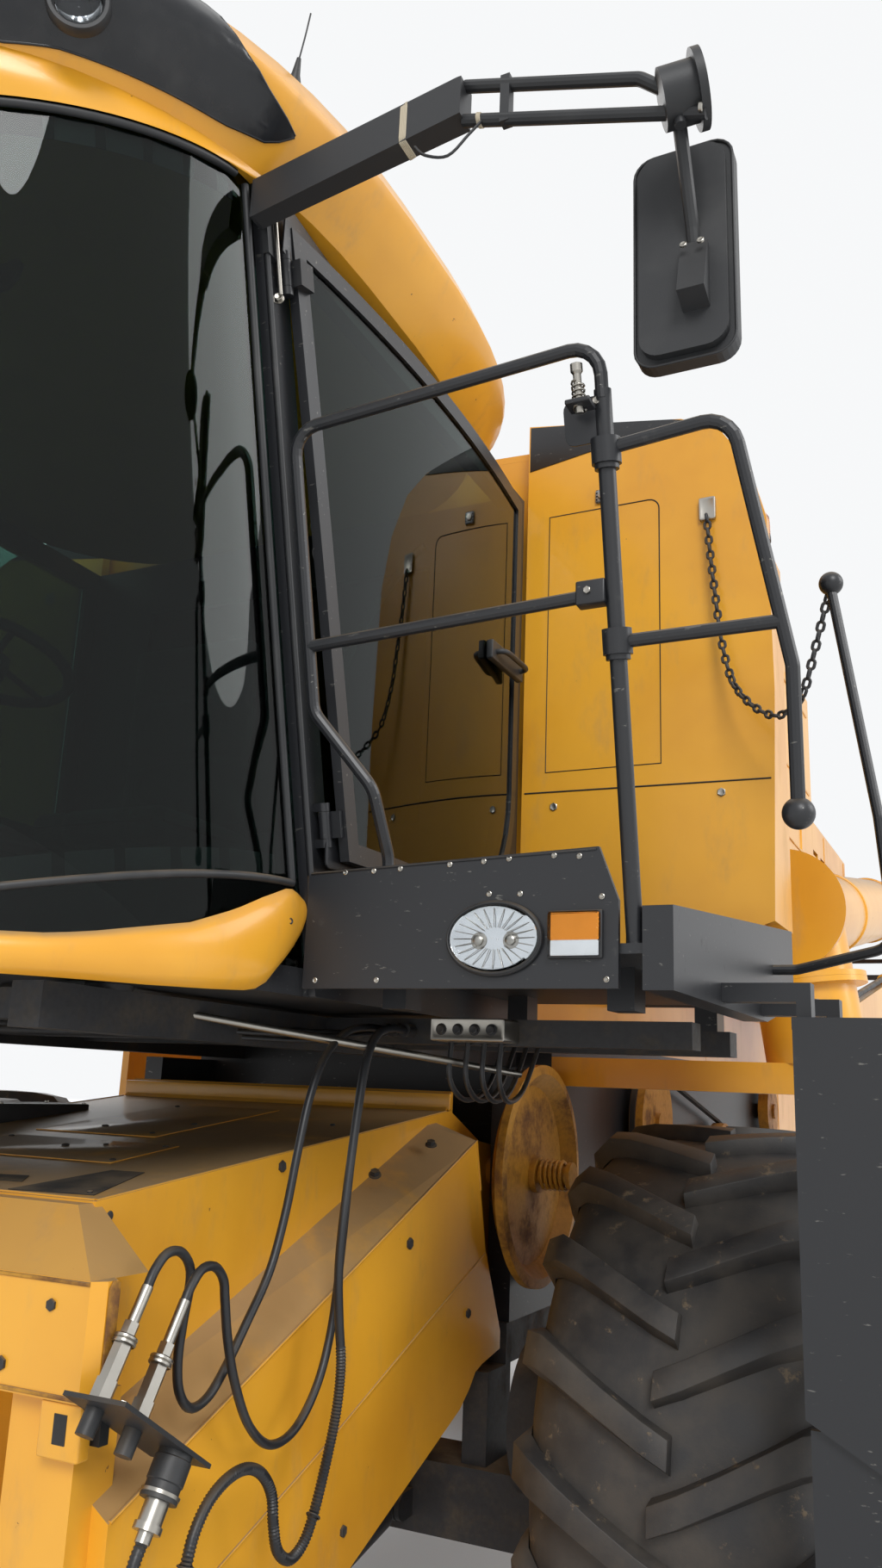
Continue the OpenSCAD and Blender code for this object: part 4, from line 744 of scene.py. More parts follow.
short_hose, path = hose("hose_short_rubber", "hose_short", SHORT_ROUTE, .838, .019)
run_length(path)
long_hose, path = hose("hose_long_rubber", "hose_long", LONG_ROUTE, .866, .019)
run_length(path)
ribbed_hose, path = hose("hose_ribbed_sleeve", "hose_ribbed", RIBBED_ROUTE, .898, .024, 1.25)
sleeve_ties = ties("sleeve_ties", [((.898, .245, .93), LEFTWARDS, (0, .75, -.6)),
    ((.898, -.195, .965), LEFTWARDS, (0, .95, -.25))], .0145)
run_length(path)


# Roof and windscreen

ROOF_ROWS = [(0, .895, .14), (.18, .95, .07), (.4, .995, .008), (.48, 1, 0), (.68, .975, .028), (.85, .93, .08),
    (.96, .86, .16), (1, .78, .25)]


def roof_skin(turn, up, proud=0.0):
    """A point of the roof's skin, at an angle round it and a share of its height. Proud stands it off."""
    for (u0, w0, i0), (u1, w1, i1) in zip(ROOF_ROWS, ROOF_ROWS[1:]):
        if up <= u1 + 1e-9:
            k = (up - u0) / (u1 - u0)
            wide, inset = w0 + k * (w1 - w0), i0 + k * (i1 - i0)
            break
    c, s = cos(radians(turn)), sin(radians(turn))
    e = 2 / (2.3 if s < 0 else 3.2)
    reach = .02 + 1.25 - inset if s < 0 else 1.29 - min(.06, inset) - .02
    x = (1.1 * wide + proud) * copysign(abs(c) ** e, c)
    y = .02 + (reach + proud) * copysign(abs(s) ** e, s)
    return Vector((x, y, 3.76 + .32 * up))


PILLAR_SLOPE = .262


def pillar_y(z):
    """How far back the cab's front pillar stands at a height."""
    return .04 - (z - 2.33) * PILLAR_SLOPE


def glass_point(turn, z, proud=0.0):
    """A point of the windscreen at an angle from its left end, at a height."""
    end = pillar_y(z) - .0603
    nose = -.88 - (z - 2.06) * .2 / 1.7
    c, s = cos(radians(turn)), sin(radians(turn))
    return Vector(((.91 + proud) * c, end + (nose - proud - end) * s, z))


def brow_edge(turn):
    """The height of the roof's lower lip in front of the windscreen."""
    return 3.76 - .132 * abs(sin(radians(turn)))


smoothed("cab_roof", "cab_roof_shell", 25)
smoothed("cab_glazing", "windscreen_and_windows", 25)

BROW_TURNS = [5 + 170 * k / 64 for k in range(65)]


def brow_row(turn, share):
    """The lip runs from the roof's lower edge down and in to a little before the glass."""
    low = glass_point(turn, brow_edge(turn), .016)
    wide = max(-1.0, min(1.0, low.x * 1.056 / .9845))
    round_it = degrees(acos(copysign(abs(wide) ** 1.15, wide)))
    high = roof_skin(360 - round_it, .02, -.002)
    bulge = .018 * sin(pi * share) * sin(radians(turn))
    point = low.lerp(high, share)
    return point + Vector((0, -bulge, -bulge * .3))


skin("roof_brow", [[brow_row(t, s / 6) for s in range(7)] for t in BROW_TURNS[1:-1]], YELLOW, "machine", 0)
drawn("windscreen_seal", [[glass_point(t, brow_edge(t) - .006, .005) for t in BROW_TURNS],
    [glass_point(t, 2.068 + .17 * abs(cos(radians(t))) ** 2.5, .003)
    for t in [2 + 176 * k / 60 for k in range(61)]], [glass_point(2.0, 2.24 + 1.5 * k / 12, .002)
    for k in range(13)], [glass_point(178.0, 2.24 + 1.5 * k / 12, .002) for k in range(13)]], .009, PLASTIC)
skin("windscreen_border", [[glass_point(t, brow_edge(t) - .012 - .05 * s / 3, -.0095) for s in range(4)]
    for t in BROW_TURNS], PLASTIC, "machine", .001)
skin("windscreen_border_low", [[glass_point(t, 2.062 + .17 * abs(cos(radians(t))) ** 2.5 + .06 * s / 3, -.0095)
    for s in range(4)] for t in BROW_TURNS], PLASTIC, "machine", .001)

# The visor: a glossy dark band round the roof's front, with a rounded tip at each end
VISOR_LOW = [(270, .02), (300, .02), (309, .02), (315.3, .06), (325, .075), (335, .09), (340, .13), (342.6, .2),
    (343, .24)]
VISOR_HIGH = [(270, .93), (300, .93), (320, .93), (327.8, .92), (331.5, .7), (334.8, .45), (338.5, .35),
    (341.5, .29), (343, .25)]


def along(stops, turn):
    """A value at an angle, between stops of angle and value."""
    for (a, u), (b, v) in zip(stops, stops[1:]):
        if turn <= b:
            return u + (v - u) * (turn - a) / (b - a)
    return stops[-1][1]


visor_rows = []
for k in range(97):
    turn = 197.0 + 146 * k / 96
    mirror = 540 - turn if turn < 270 else turn
    low, high = along(VISOR_LOW, mirror), along(VISOR_HIGH, mirror)
    visor_rows.append([roof_skin(turn, low + (high - low) * s / 10, .006) for s in range(11)])
skin("roof_visor", visor_rows, PLASTIC, "machine", .004, finish=visor_black)
drawn("visor_edge", [[row[0] for row in visor_rows], [row[-1] for row in visor_rows]], .003, PLASTIC, 2,
    finish=visor_black)


def pointing(tilt, turn):
    """A direction, in degrees down from straight up and round from X."""
    return Vector((sin(radians(tilt)) * cos(radians(turn)), sin(radians(tilt)) * sin(radians(turn)),
        cos(radians(tilt))))


def sided(place, side):
    """A place or direction on the left, or its mirror image on the right."""
    return Vector((side * place[0], place[1], place[2]))


LAMP_WAY = pointing(102.7, -50.4)
WORK_LAMP_WAY = pointing(78, 14)


def round_lamp(name, middle, facing, r, depth):
    """A round lamp: a dark ring, a bright bowl, a bulb and a domed clear lens."""
    turned(name + "_ring", [(r + .001, -.012), (r + .001, .006), (r + .006, .014), (r + .013, .014),
        (r + .017, .006), (r + .017, -.012), (r + .001, -.012)], middle, facing, PLASTIC, steps=40)
    turned(name + "_bowl", [(0, -depth), (r * .35, -depth), (r * .62, -depth * .8), (r * .85, -depth * .45),
        (r * .98, 0.0)], middle, facing, BRIGHT, steps=32, finish=mirror_bright)
    turned(name + "_bulb", [(0, -depth + .022), (.006, -depth + .019), (.008, -depth + .012), (.008, -depth),
        (0, -depth)], middle, facing, CLEAR, steps=16)
    turned(name + "_lens", [(0, .012), (r * .4, .0105), (r * .75, .006), (r * .97, 0.0), (r * .97, -.003),
        (r * .75, .003), (r * .4, .0075), (0, .009), (0, .012)], middle, facing, CLEAR, steps=40)


for side, word in SIDES:
    middle = Vector((.785, -.815, 3.85)) + LAMP_WAY * .054
    round_lamp("roof_lamp_" + word, sided(middle, side), sided(LAMP_WAY, side), .046, .014)
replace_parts(bpy.data.objects["roof_lamp_left_lens"], "head_lamps")

turned("antenna_foot", [(0, .098), (.005, .095), (.01, .06), (.02, .03), (.027, .008), (.029, -.02), (0, -.02)],
    (.975, -.36, 3.99), (.35, -.25, 1), PLASTIC, 24)
drawn("antenna_whip", [smooth_route([(1.005, -.382, 4.07), (1.02, -.385, 4.13), (1.03, -.385, 4.19)], 6)], .002,
    PLASTIC, 2)
turned("brow_vent", [(0, .02), (.026, .016), (.032, 0.0), (.036, -.01), (0, -.012)], (.7, -.772, 3.762),
    (.55, -.75, -.35), PLASTIC, 28)

# Cab: door, mirrors and what shows through the glass

LEAN = Vector((0, -PILLAR_SLOPE, 1)).normalized()
for side, word in SIDES:
    x = side * .956
    plate("door_hinge_top_" + word, [(-.012, -.075), (.03, -.085), (.25, -.028), (.268, -.008), (.262, .014),
        (.24, .022), (-.012, .05)], .005, (x, pillar_y(3.7) + .01, 3.7), (0, side, 0)
        if side > 0 else (0, 1, 0), (side, 0, 0), BLACK, body="door" if side > 0 else "machine")
DOOR_SHEET = .9625
spread("door_screws", SCREW, [((DOOR_SHEET, pillar_y(3.7) + .05, 3.672), LEFTWARDS, .022),
    ((DOOR_SHEET, pillar_y(3.7) + .22, 3.688), LEFTWARDS, .022), ((DOOR_SHEET, .17, 2.335), LEFTWARDS, .03),
    ((DOOR_SHEET, .235, 2.348), LEFTWARDS, .03)], BLACK, "door")
plate("door_hinge_low", round_box(.26, .11, .014), .006, (.956, .155, 2.345), (0, 1, .08), LEFTWARDS, BLACK,
    body="door")
spread("door_knobs", SCREW, [((.962, -.105, 3.044), (1, .1, 0), .042), ((.962, -.09, 2.985), (1, .1, 0), .042)],
    PLASTIC, "door")
housing("door_handle", (.985, .8, 3.045), (1.01, 1.04, 3.105), .01, PLASTIC, .006, LEFTWARDS, body="door")
drawn("door_grip", [smooth_route([(.992, .835, 3.075), (1.03, .845, 3.075), (1.034, .93, 3.075),
    (1.03, 1.005, 3.075), (.992, 1.02, 3.075)], 5)], .0085, PLASTIC, 4, body="door")
drawn("grab_bar_inside", [smooth_route([(.9, .16, 2.75), (.87, .17, 2.78), (.87, .32, 3.02), (.87, .52, 3.26),
    (.9, .54, 3.3)], 5)], .011, PLASTIC, 4)

MIRROR_X, MIRROR_Z = 1.845, 3.41
for side, word in SIDES:
    plate("mirror_glass_" + word, round_box(.172, .45, .035), .003, (side * MIRROR_X, -.1965, MIRROR_Z),
        LEFTWARDS, (0, 1, 0), BRIGHT, finish=mirror_bright)
    drawn("mirror_rim_" + word, [looped([(side * MIRROR_X + u, -.2295, MIRROR_Z + v)
        for u, v in round_box(.196, .476, .04)])], .003, PLASTIC, 2)
    bands = []
    for x, y, z in [(1.296 + .003 * k, -.38, 3.767) for k in range(5)] + [(1.461 + .003 * k, -.372, 3.742)
            for k in range(3)]:
        wrap = [struck("mirrors", (side * x, y + .15 * cos(a), z + .15 * sin(a)), (0, -cos(a), -sin(a)))
            for a in angles(40)]
        ring = [hit[0] for hit in wrap if hit and (hit[0] - Vector((side * x, y, z))).length < .08]
        if len(ring) > 30:
            bands.append(looped(ring))
    if bands:
        drawn("mirror_ties_" + word, bands, .0022, PLASTIC, 1, finish=pale_tie)
    drawn("mirror_wire_" + word, [smooth_route([(side * 1.33, -.4, 3.7), (side * 1.36, -.41, 3.66),
        (side * 1.41, -.405, 3.645), (side * 1.45, -.395, 3.69), (side * 1.47, -.38, 3.728)], 5)], .0032,
        PLASTIC, 2)
    spread("mirror_screws_" + word, SCREW, [((side * 1.872 + dx, -.281, z), (0, -1, .28), .014)
        for dx in (-.015, .018) for z in (3.3, 3.385)] + [((side * 1.92, -.385, 3.584), (side * .97, 0, -.24),
        .02)], BRIGHT)
    turned("work_lamp_glass_" + word, [(0, .004), (.045, .003), (.062, 0), (.064, -.004), (0, -.004)],
        sided(Vector((1.872, -.372, 3.64)) + WORK_LAMP_WAY * .05, side), sided(WORK_LAMP_WAY, side), CLEAR, 32)

plate("inside_mirror", round_box(.26, .09, .03), .014, (.35, -.62, 3.5), (1, .25, 0), (0, 1, -.25), PLASTIC,
    .004)
drawn("inside_mirror_stalk", [[(.35, -.63, 3.55), (.36, -.7, 3.66)]], .006, PLASTIC, 3)
drawn("pillar_seal", [[(.938 * side, pillar_y(z) - .052, z) for z in (2.26, 3.0, 3.74)] for side in (1, -1)],
    .007, PLASTIC, 2)
spread("pillar_pins", HEX, both([((.945, pillar_y(z) - .03, z), (.5, -1, 0), .018) for z in (3.735, 3.52)]),
    BRIGHT)
drawn("pillar_spring_pin", [[(side * .955, pillar_y(z) - .035, z) for z in (3.735, 3.52)] for side in (1, -1)],
    .005, BRIGHT, 3)

# Armrest, lever, side console, monitor and pedals
housing("armrest", (-.4, .2, 2.455), (-.275, .62, 2.53), .022, PLASTIC, .012, UPWARDS)
housing("armrest_post", (-.36, .47, 2.34), (-.29, .56, 2.46), .01, PLASTIC)
turned("drive_lever", [(0, 0.0), (.02, 0.0), (.012, .02), (.008, .05), (.014, .075), (.022, .1), (.024, .13),
    (.016, .152), (0, .158)], (-.34, .24, 2.52), (0, -.25, 1), PLASTIC, 24)
housing("side_console", (-.86, .14, 2.065), (-.46, 1.05, 2.52), .03, PLASTIC, .02, UPWARDS)
plate("monitor", round_box(.28, .2, .02), .035, (-.62, -.35, 2.72), (1, .2, 0), (-.2, 1, .35), PLASTIC, .005)
drawn("monitor_arm", [[(-.62, -.36, 2.66), (-.62, -.42, 2.45), (-.6, -.5, 2.07)]], .014, PLASTIC, 3)
for k, x in enumerate((.22, .36, -.25)):
    plate("pedal_%d" % (k + 1), round_box(.085, .13, .012), .012, (x, -.4, 2.17), LEFTWARDS, (0, 1, .9), BLACK,
        .003)
    drawn("pedal_arm_%d" % (k + 1), [[(x, -.41, 2.165), (x, -.47, 2.07)]], .009, BLACK, 3)


# Corner panels behind the platforms

PANEL_FACE = 1.2155
GAP_PLANE = 1.2148
for side, word in SIDES:
    outline = [(.945, 3.874), (1.2, 3.912), (1.4, 3.941), (1.478, 3.953), (1.44, 3.964), (1.2, 4.006),
        (.945, 4.044)]
    plate("panel_cap_" + word, [(x * side, z) for x, z in outline][::side], .003, (0, 1.215, 0), LEFTWARDS,
        FORWARDS, BLACK)
    corner = [(1.36 + .035 * sin(a), 3.655 + .035 * cos(a)) for a in (radians(15 * k) for k in range(1, 7))]
    hatch = looped([(1.02, 3.69), (1.36, 3.69)] + corner + [(1.395, 2.8), (1.02, 2.8)])
    drawn("hatch_gap_" + word, [[(side * x, GAP_PLANE, z) for x, z in hatch]], .0022, GAP_BLACK, 1)
    drawn("sheet_gap_" + word, [[(side * x, GAP_PLANE, 2.735 - .01 * (x - 1.0))
        for x in (.95, 1.2, 1.45, 1.722)]], .0028, GAP_BLACK, 1)
    housing("hatch_lock_" + word, (side * 1.206 - .024, 1.203, 3.707), (side * 1.206 + .024, PANEL_FACE, 3.755),
        .011, "grey_steel")
    housing("chain_plate_" + word, (side * 1.553 - .026, 1.196, 3.578),
        (side * 1.553 + .026, PANEL_FACE, 3.655), .006, BRIGHT, .008, FORWARDS)
spread("panel_screws", HEX, both([((1.05, PANEL_FACE, 2.686), FORWARDS, .024),
    ((1.577, PANEL_FACE, 2.695), FORWARDS, .024), ((1.05, PANEL_FACE, 2.2), FORWARDS, .02),
    ((1.6, PANEL_FACE, 2.2), FORWARDS, .02)]), BRIGHT)
turned("lock_barrel", [(0, .006), (.012, .005), (.015, 0), (0, 0)], (1.206, 1.203, 3.731), FORWARDS, BRIGHT, 20)


def hanging_chain(name, points, gap=.026, size=.034):
    """Links along a hanging line, each turned a quarter to the next."""
    spots = evenly(points, gap)
    links = []
    for k, (a, b) in enumerate(zip(spots, spots[1:])):
        way = (b - a).normalized()
        aside = way.cross(Vector(UPWARDS) if abs(way.z) < .9 else Vector((0, 1, 0))).normalized()
        flat = way.cross(aside)
        y, z = (aside, flat) if k % 2 else (flat, -aside)
        links.append(LINK.data.copy())
        links[-1].transform(axes(way, y, z, (a + b) / 2) @ Matrix.Scale(size, 4))
    return settle(from_machine(joined(name, links)), name, IRON, "machine", 60)


hanging_chain("safety_chain", smooth_route([(1.553, 1.19, 3.59), (1.565, 1.185, 3.436), (1.581, 1.175, 3.285),
    (1.597, 1.165, 3.152), (1.63, 1.14, 3.016), (1.681, 1.1, 2.931), (1.742, 1.06, 2.874), (1.79, 1.025, 2.855),
    (1.85, .977, 2.879), (1.893, .944, 2.991), (1.932, .915, 3.111), (1.945, .905, 3.145)], 6))


# Handrails

def rail_point(x, z):
    return Vector((x, .032 - (z - 2.1) * PILLAR_SLOPE, z))


for side, word in SIDES:
    post = rail_point(side * 1.685, 3.14)
    turned("rail_spring_" + word, [(0, 0.0), (.008, 0.0), (.008, .075), (.012, .08), (.012, .095), (0, .1)],
        post + Vector((-side * .035, -.03, -.06)), LEAN, BRIGHT, 16)
    drawn("rail_coil_" + word, [[post + Vector((-side * .035, -.03, -.055)) + LEAN * (.055 * k / 60)
        + Vector((.012 * cos(k * .6), .012 * sin(k * .6), 0)) for k in range(61)]], .0022, BRIGHT, 2)
    housing("rail_bracket_top_" + word, post + Vector((-side * .028 - .03, -.055, -.05)), post
        + Vector((-side * .028 + .02, -.014, -.04)), .003, BLACK)
    plate("rail_gusset_" + word, round_box(.085, .09, .02), .006, rail_point(side * 1.648, 3.085)
        + Vector((0, -.004, 0)), LEFTWARDS, (0, -1, -PILLAR_SLOPE), BLACK)
    housing("rail_bracket_mid_" + word, Vector((side * 1.64 - .035, rail_point(0, 2.76).y - .02, 2.735)),
        Vector((side * 1.64 + .025, rail_point(0, 2.76).y + .012, 2.785)), .004, BLACK)
spread("rail_bolts", HEX, both([((1.675, rail_point(0, 3.1).y - .016, 3.115), FORWARDS, .016),
    ((1.63, rail_point(0, 2.76).y - .022, 2.762), FORWARDS, .014), ((1.117, .018, 2.16), FORWARDS, .014)]),
    BRIGHT)
drawn("rail_collars", [hoop(rail_point(s * 1.117, 2.105), (.019, 0, 0), (0, .019, 0), 15) for s in (1, -1)],
    .006, BLACK, 2)

# Platform lamps

def oval(w, h, steps=48):
    return [(w * cos(a), h * sin(a)) for a in angles(steps)]


def oval_shell(name, rings, middle, slot, finish=None):
    """A dished or domed oval, from rings of half width, half height and place in front of the panel."""
    rows = [[Vector((middle[0] + u, middle[1] - out, middle[2] + v)) for u, v in oval(w, h)]
        for w, h, out in rings]
    return skin(name, rows, slot, "machine", 0, 60, finish, closed=True)


for side, word in SIDES:
    x, z = side * 1.386, 2.112
    middle = (x, 0.0, z)
    oval_shell("headlamp_bezel_" + word, [(.098, .069, .0005), (.104, .075, .0005), (.106, .077, .006),
        (.103, .074, .012), (.097, .068, .0125), (.0955, .0665, .009), (.0955, .0665, .001)], middle, PLASTIC)
    oval_shell("headlamp_bowl_" + word, [(.0955, .0665, .0085), (.088, .06, .0068), (.06, .042, .0025),
        (.03, .02, .0012), (.0002, .0002, .001)], middle, BRIGHT, mirror_bright)
    oval_shell("headlamp_lens_" + word, [(.0955, .0665, .009), (.0945, .0655, .0115), (.07, .048, .0145),
        (.035, .024, .0158), (.002, .002, .016), (.002, .002, .014), (.035, .024, .0138), (.07, .048, .0125),
        (.093, .064, .0095)], middle, CLEAR)
    for k, dx in enumerate((-.034, .036)):
        turned("headlamp_bulb_%s_%d" % (word, k + 1), [(0, .0095), (.007, .0085), (.0105, .006), (.011, 0),
            (.017, -.001), (.019, -.004), (0, -.004)], (x + dx, -.0035, z - .004), FORWARDS, BRIGHT, 20)
    drawn("headlamp_flutes_" + word, [[(x + r * .092 * cos(a), -.0042 - .004 * r, z + r * .063 * sin(a))
        for r in (.35, .55, .75, .95)] for a in angles(24)], .0008, BRIGHT, 1)
    a, beacon = side * 1.557, (side * 1.6, 1.7, 3.7155)
    housing("indicator_amber_" + word, (a - .053, -.0215, 2.105), (a + .053, -.0005, 2.161), .006, "amber_lamp")
    housing("indicator_clear_" + word, (a - .053, -.0215, 2.073), (a + .053, -.0005, 2.1045), .006, CLEAR)
    housing("indicator_back_" + word, (a - .056, -.008, 2.07), (a + .056, -.0003, 2.164), .003, PLASTIC)
    housing("indicator_bright_" + word, (a - .048, -.0098, 2.077), (a + .048, -.0082, 2.157), .0005, BRIGHT,
        finish=mirror_bright)
    turned("beacon_" + word, [(0, .112), (.03, .111), (.048, .104), (.0565, .09), (.058, .06), (.0585, .024),
        (.05, .022), (.05, .055), (.048, .085), (.038, .1), (0, .104)], beacon, UPWARDS, "amber_lamp", 40)
    turned("beacon_base_" + word, [(0, .023), (.0585, .023), (.06, .016), (.06, .0005), (0, .0005)], beacon,
        UPWARDS, PLASTIC, 32)
    turned("beacon_bulb_" + word, [(0, .084), (.014, .08), (.02, .066), (.018, .05), (.012, .04), (.012, .023),
        (0, .023)], beacon, UPWARDS, CLEAR, 20)
    drawn("headlamp_ring_" + word, [looped([(x + u, -.0128, z + v) for u, v in oval(.1, .071)])], .0022,
        PLASTIC, 2)
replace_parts(bpy.data.objects["indicator_amber_left"], "amber_lamps")

spread("platform_rivets", SCREW, both([((x, -.0005, z), FORWARDS, .012)
    for x, z in ((1.03, 2.262), (1.1, 2.262), (1.164, 2.264), (1.28, 2.268), (1.357, 2.271), (1.413, 2.274),
    (1.51, 2.276), (1.563, 2.272), (1.371, 2.203), (1.439, 2.201), (.97, 2.03), (1.12, 2.03), (1.62, 2.03),
    (1.61, 2.19))]), BRIGHT)
spread("skirt_screws", SCREW, both([((.88, -.1995, 2.125), (.65, -.76, 0), .02)]), IRON)
drawn("platform_fold", [[(s * .944, -.0012, 2.262), (s * 1.3, -.0012, 2.2745), (s * 1.598, -.0012, 2.284)]
    for s in (1, -1)], .0022, BLACK, 1)
drawn("deck_tread", [[(s * x, y, 2.1015), (s * (x + .035), y + .012, 2.1025)] for s in (1, -1)
    for k, y in enumerate([.06 + .055 * j for j in range(22)])
    for x in [1.0 + .085 * i + (.04 if k % 2 else 0) for i in range(8)]], .003, BLACK, 1)


# Feeder house

def lid(x, y, lift=0.0):
    """A point on the feeder's top sheet."""
    return Vector((x, y, 1.575 + (y + .26) * .171 / 1.62 + lift))


def sheet_patch(name, outline, thick, slot):
    """A thin sheet that lies on the feeder's top."""
    piece = raised(mesh_piece(name, [lid(x, y, .0003) for x, y in outline], [tuple(range(len(outline)))]),
        thick)
    broken_edges(piece, min(.001, thick * .3))
    return settle(from_machine(piece), name, slot, "feeder")


sheet_patch("lid_strip_left", [(.4, -.235), (.615, -.215), (.53, .04), (.44, .035)], .0016, GAP_BLACK)
sheet_patch("lid_strip_middle", [(.05, -.19), (.36, -.155), (.32, -.095), (.05, -.13)], .0016, GAP_BLACK)
sheet_patch("lid_strip_right", [(-.05, -.13), (-.32, -.095), (-.36, -.155), (-.05, -.19)], .0016, GAP_BLACK)
sheet_patch("lid_hatch", [(.35, .39), (.37, .11), (-.2, .11), (-.22, .39)], .003, YELLOW)
sheet_patch("lid_cover", [(-.25, .5), (.18, .5), (.15, 1.15), (-.25, 1.15)], .003, YELLOW)
drawn("lid_seams", [[lid(.654, y, 0.0) for y in (-.25, .3, .9, 1.34)],
    [lid(-.654, y, 0.0) for y in (-.25, .3, .9, 1.34)], [lid(x, -.252, .001) for x in (-.65, -.2, .2, .65)]],
    .003, YELLOW, 2, body="feeder")
spread("lid_screws", SCREW, [(lid(x, y, .003), (0, -.1, 1), s)
    for x, y, s in ((.33, .36, .016), (.35, .14, .016), (-.18, .14, .016), (-.2, .36, .016), (.07, .28, .02),
    (.16, .33, .014), (-.1, .62, .02), (.12, .75, .018), (-.22, 1.1, .016), (.13, .55, .016), (.5, .9, .014),
    (-.5, .9, .014), (.59, -.2, .012), (.3, -.22, .012), (.1, -.22, .012), (-.15, -.22, .012))], IRON, "feeder")
housing("gauge_box", (-.64, .55, 1.655), (-.46, .95, 1.722), .008, PLASTIC, .012, UPWARDS, body="feeder")
spread("gauge_box_screws", SCREW, [((x, y, 1.7205), UPWARDS, .014) for x in (-.63, -.47) for y in (.57, .93)],
    BRIGHT, "feeder")

SHIELD_FACE = .8005
BEAM_FACE = -.4005
spread("feeder_bolts", HEX, both([((.6605, .397, 1.615), (1, 0, .15), .026),
    ((SHIELD_FACE, .832, 1.409), LEFTWARDS, .028), ((.735, .74, 1.5905), (.3, -.6, 1), .024),
    ((.735, 1.075, 1.6595), (.2, -.4, 1), .024), ((SHIELD_FACE, 1.23, 1.18), LEFTWARDS, .024),
    ((SHIELD_FACE, -.05, .72), LEFTWARDS, .024), ((SHIELD_FACE, .55, .8), LEFTWARDS, .024),
    ((.705, BEAM_FACE, 1.41), FORWARDS, .02), ((.6, BEAM_FACE, 1.3), FORWARDS, .024),
    ((.05, BEAM_FACE, 1.3), FORWARDS, .024), ((.35, BEAM_FACE, 1.3), FORWARDS, .024)]), IRON, "feeder")
spread("bright_bolts", HEX, both([((.735, .36, 1.3055), (.35, -.75, 1), .034)]), BRIGHT, "feeder")
turned("side_wall_plug", [(0, .003), (.008, .002), (.01, 0), (0, 0)], (.6605, -.215, 1.545), LEFTWARDS, PLASTIC,
    16, body="feeder")
drawn("shield_folds", [[(s * x, y, z) for x, y, z in ((SHIELD_FACE, 1.345, 1.332), (SHIELD_FACE, .9, 1.17),
    (SHIELD_FACE, .455, 1.006), (SHIELD_FACE, -.285, .76))] for s in (1, -1)], .0035, YELLOW, 2, body="feeder")
drawn("shield_rims", [[(s * (SHIELD_FACE - .001), y, z) for y, z in ((1.3, 1.519), (1.259, 1.663),
    (1.196, 1.638), (.4, 1.3215), (-.295, 1.046))] for s in (1, -1)], .004, YELLOW, 2, body="feeder")
for side, word in SIDES:
    plate("beam_end_" + word, [(-.014, -.1), (.012, -.1), (.014, .098), (-.004, .104), (-.014, .09)], .004,
        (side * .8125, -.362, 1.355), (0, 1, 0), (side, 0, 0), WORN, body="feeder")
drawn("beam_lips", [[(s * .79, BEAM_FACE, 1.452), (0, BEAM_FACE, 1.452)] for s in (1, -1)]
    + [[(s * .79, BEAM_FACE, 1.262), (0, BEAM_FACE, 1.262)] for s in (1, -1)], .004, WORN, 2, body="feeder")
housing("latch_bracket", (.7, -.395, 1.16), (.795, -.362, 1.254), .005, YELLOW, body="feeder")
# Painted shade: a thin dark box on the bracket's face stands for the shaded inside of its slot.
housing("latch_slot_shade", (.735, -.3965, 1.185), (.765, -.394, 1.235), .002, GAP_BLACK, body="feeder")
housing("feeder_plate_low", (.62, -.366, .48), (.755, -.3605, .6), .004, WORN, body="feeder")
housing("lid_lip", (-.66, 1.352, 1.748), (.66, 1.372, 1.8), .004, YELLOW, body="feeder")

# The coupler's bolts, a clip ring at each coupling, and the plug's ring, grip and clamp
COUPLER_TILT = radians(31)
COUPLER_UP = Vector((0, sin(COUPLER_TILT), cos(COUPLER_TILT)))
COUPLER_ALONG = Vector((0, cos(COUPLER_TILT), -sin(COUPLER_TILT)))
COUPLER_MID = Vector((.85, -.322, 1.21))


def on_coupler(x, y, z):
    """A place on the coupler: across, along and up from the middle of its plate."""
    return COUPLER_MID + Vector((x, 0, 0)) + COUPLER_ALONG * y + COUPLER_UP * z


spread("coupler_bolts", HEX, [(on_coupler(x, y, .0045), COUPLER_UP, .016)
    for x, y in ((-.035, -.055), (-.035, .055), (.065, -.13), (.065, .03), (-.035, .13))], BRIGHT, "feeder")
for k, (x, y) in enumerate(((-.012, -.1), (.016, -.016))):
    turned("coupling_collar_%d" % (k + 1), [(.0205, -.002), (.0225, .0), (.0225, .004), (.0205, .006),
        (.0225, .008), (.0225, .012), (.0205, .014), (.0205, -.002)], on_coupler(x, y, .107), COUPLER_UP,
        BRIGHT, 32, body="feeder")
turned("plug_ring", [(.0325, -.004), (.0365, -.003), (.037, .003), (.0325, .004), (.0325, -.004)],
    on_coupler(.048, .084, -.072), COUPLER_UP, BRIGHT, 36, body="feeder")
turned("plug_grip", [(.0325, .0), (.0345, .002), (.0345, .04), (.0325, .042), (.0325, .0)],
    on_coupler(.048, .084, -.055), COUPLER_UP, PLASTIC, 24, body="feeder")
drawn("plug_clamp", [hoop(on_coupler(.048, .084, -.128), COUPLER_ALONG * .0225, (.0225, 0, 0), 18)], .003,
    BRIGHT, 2, body="feeder")


# Pipes, cables and a rod under the cab's floor

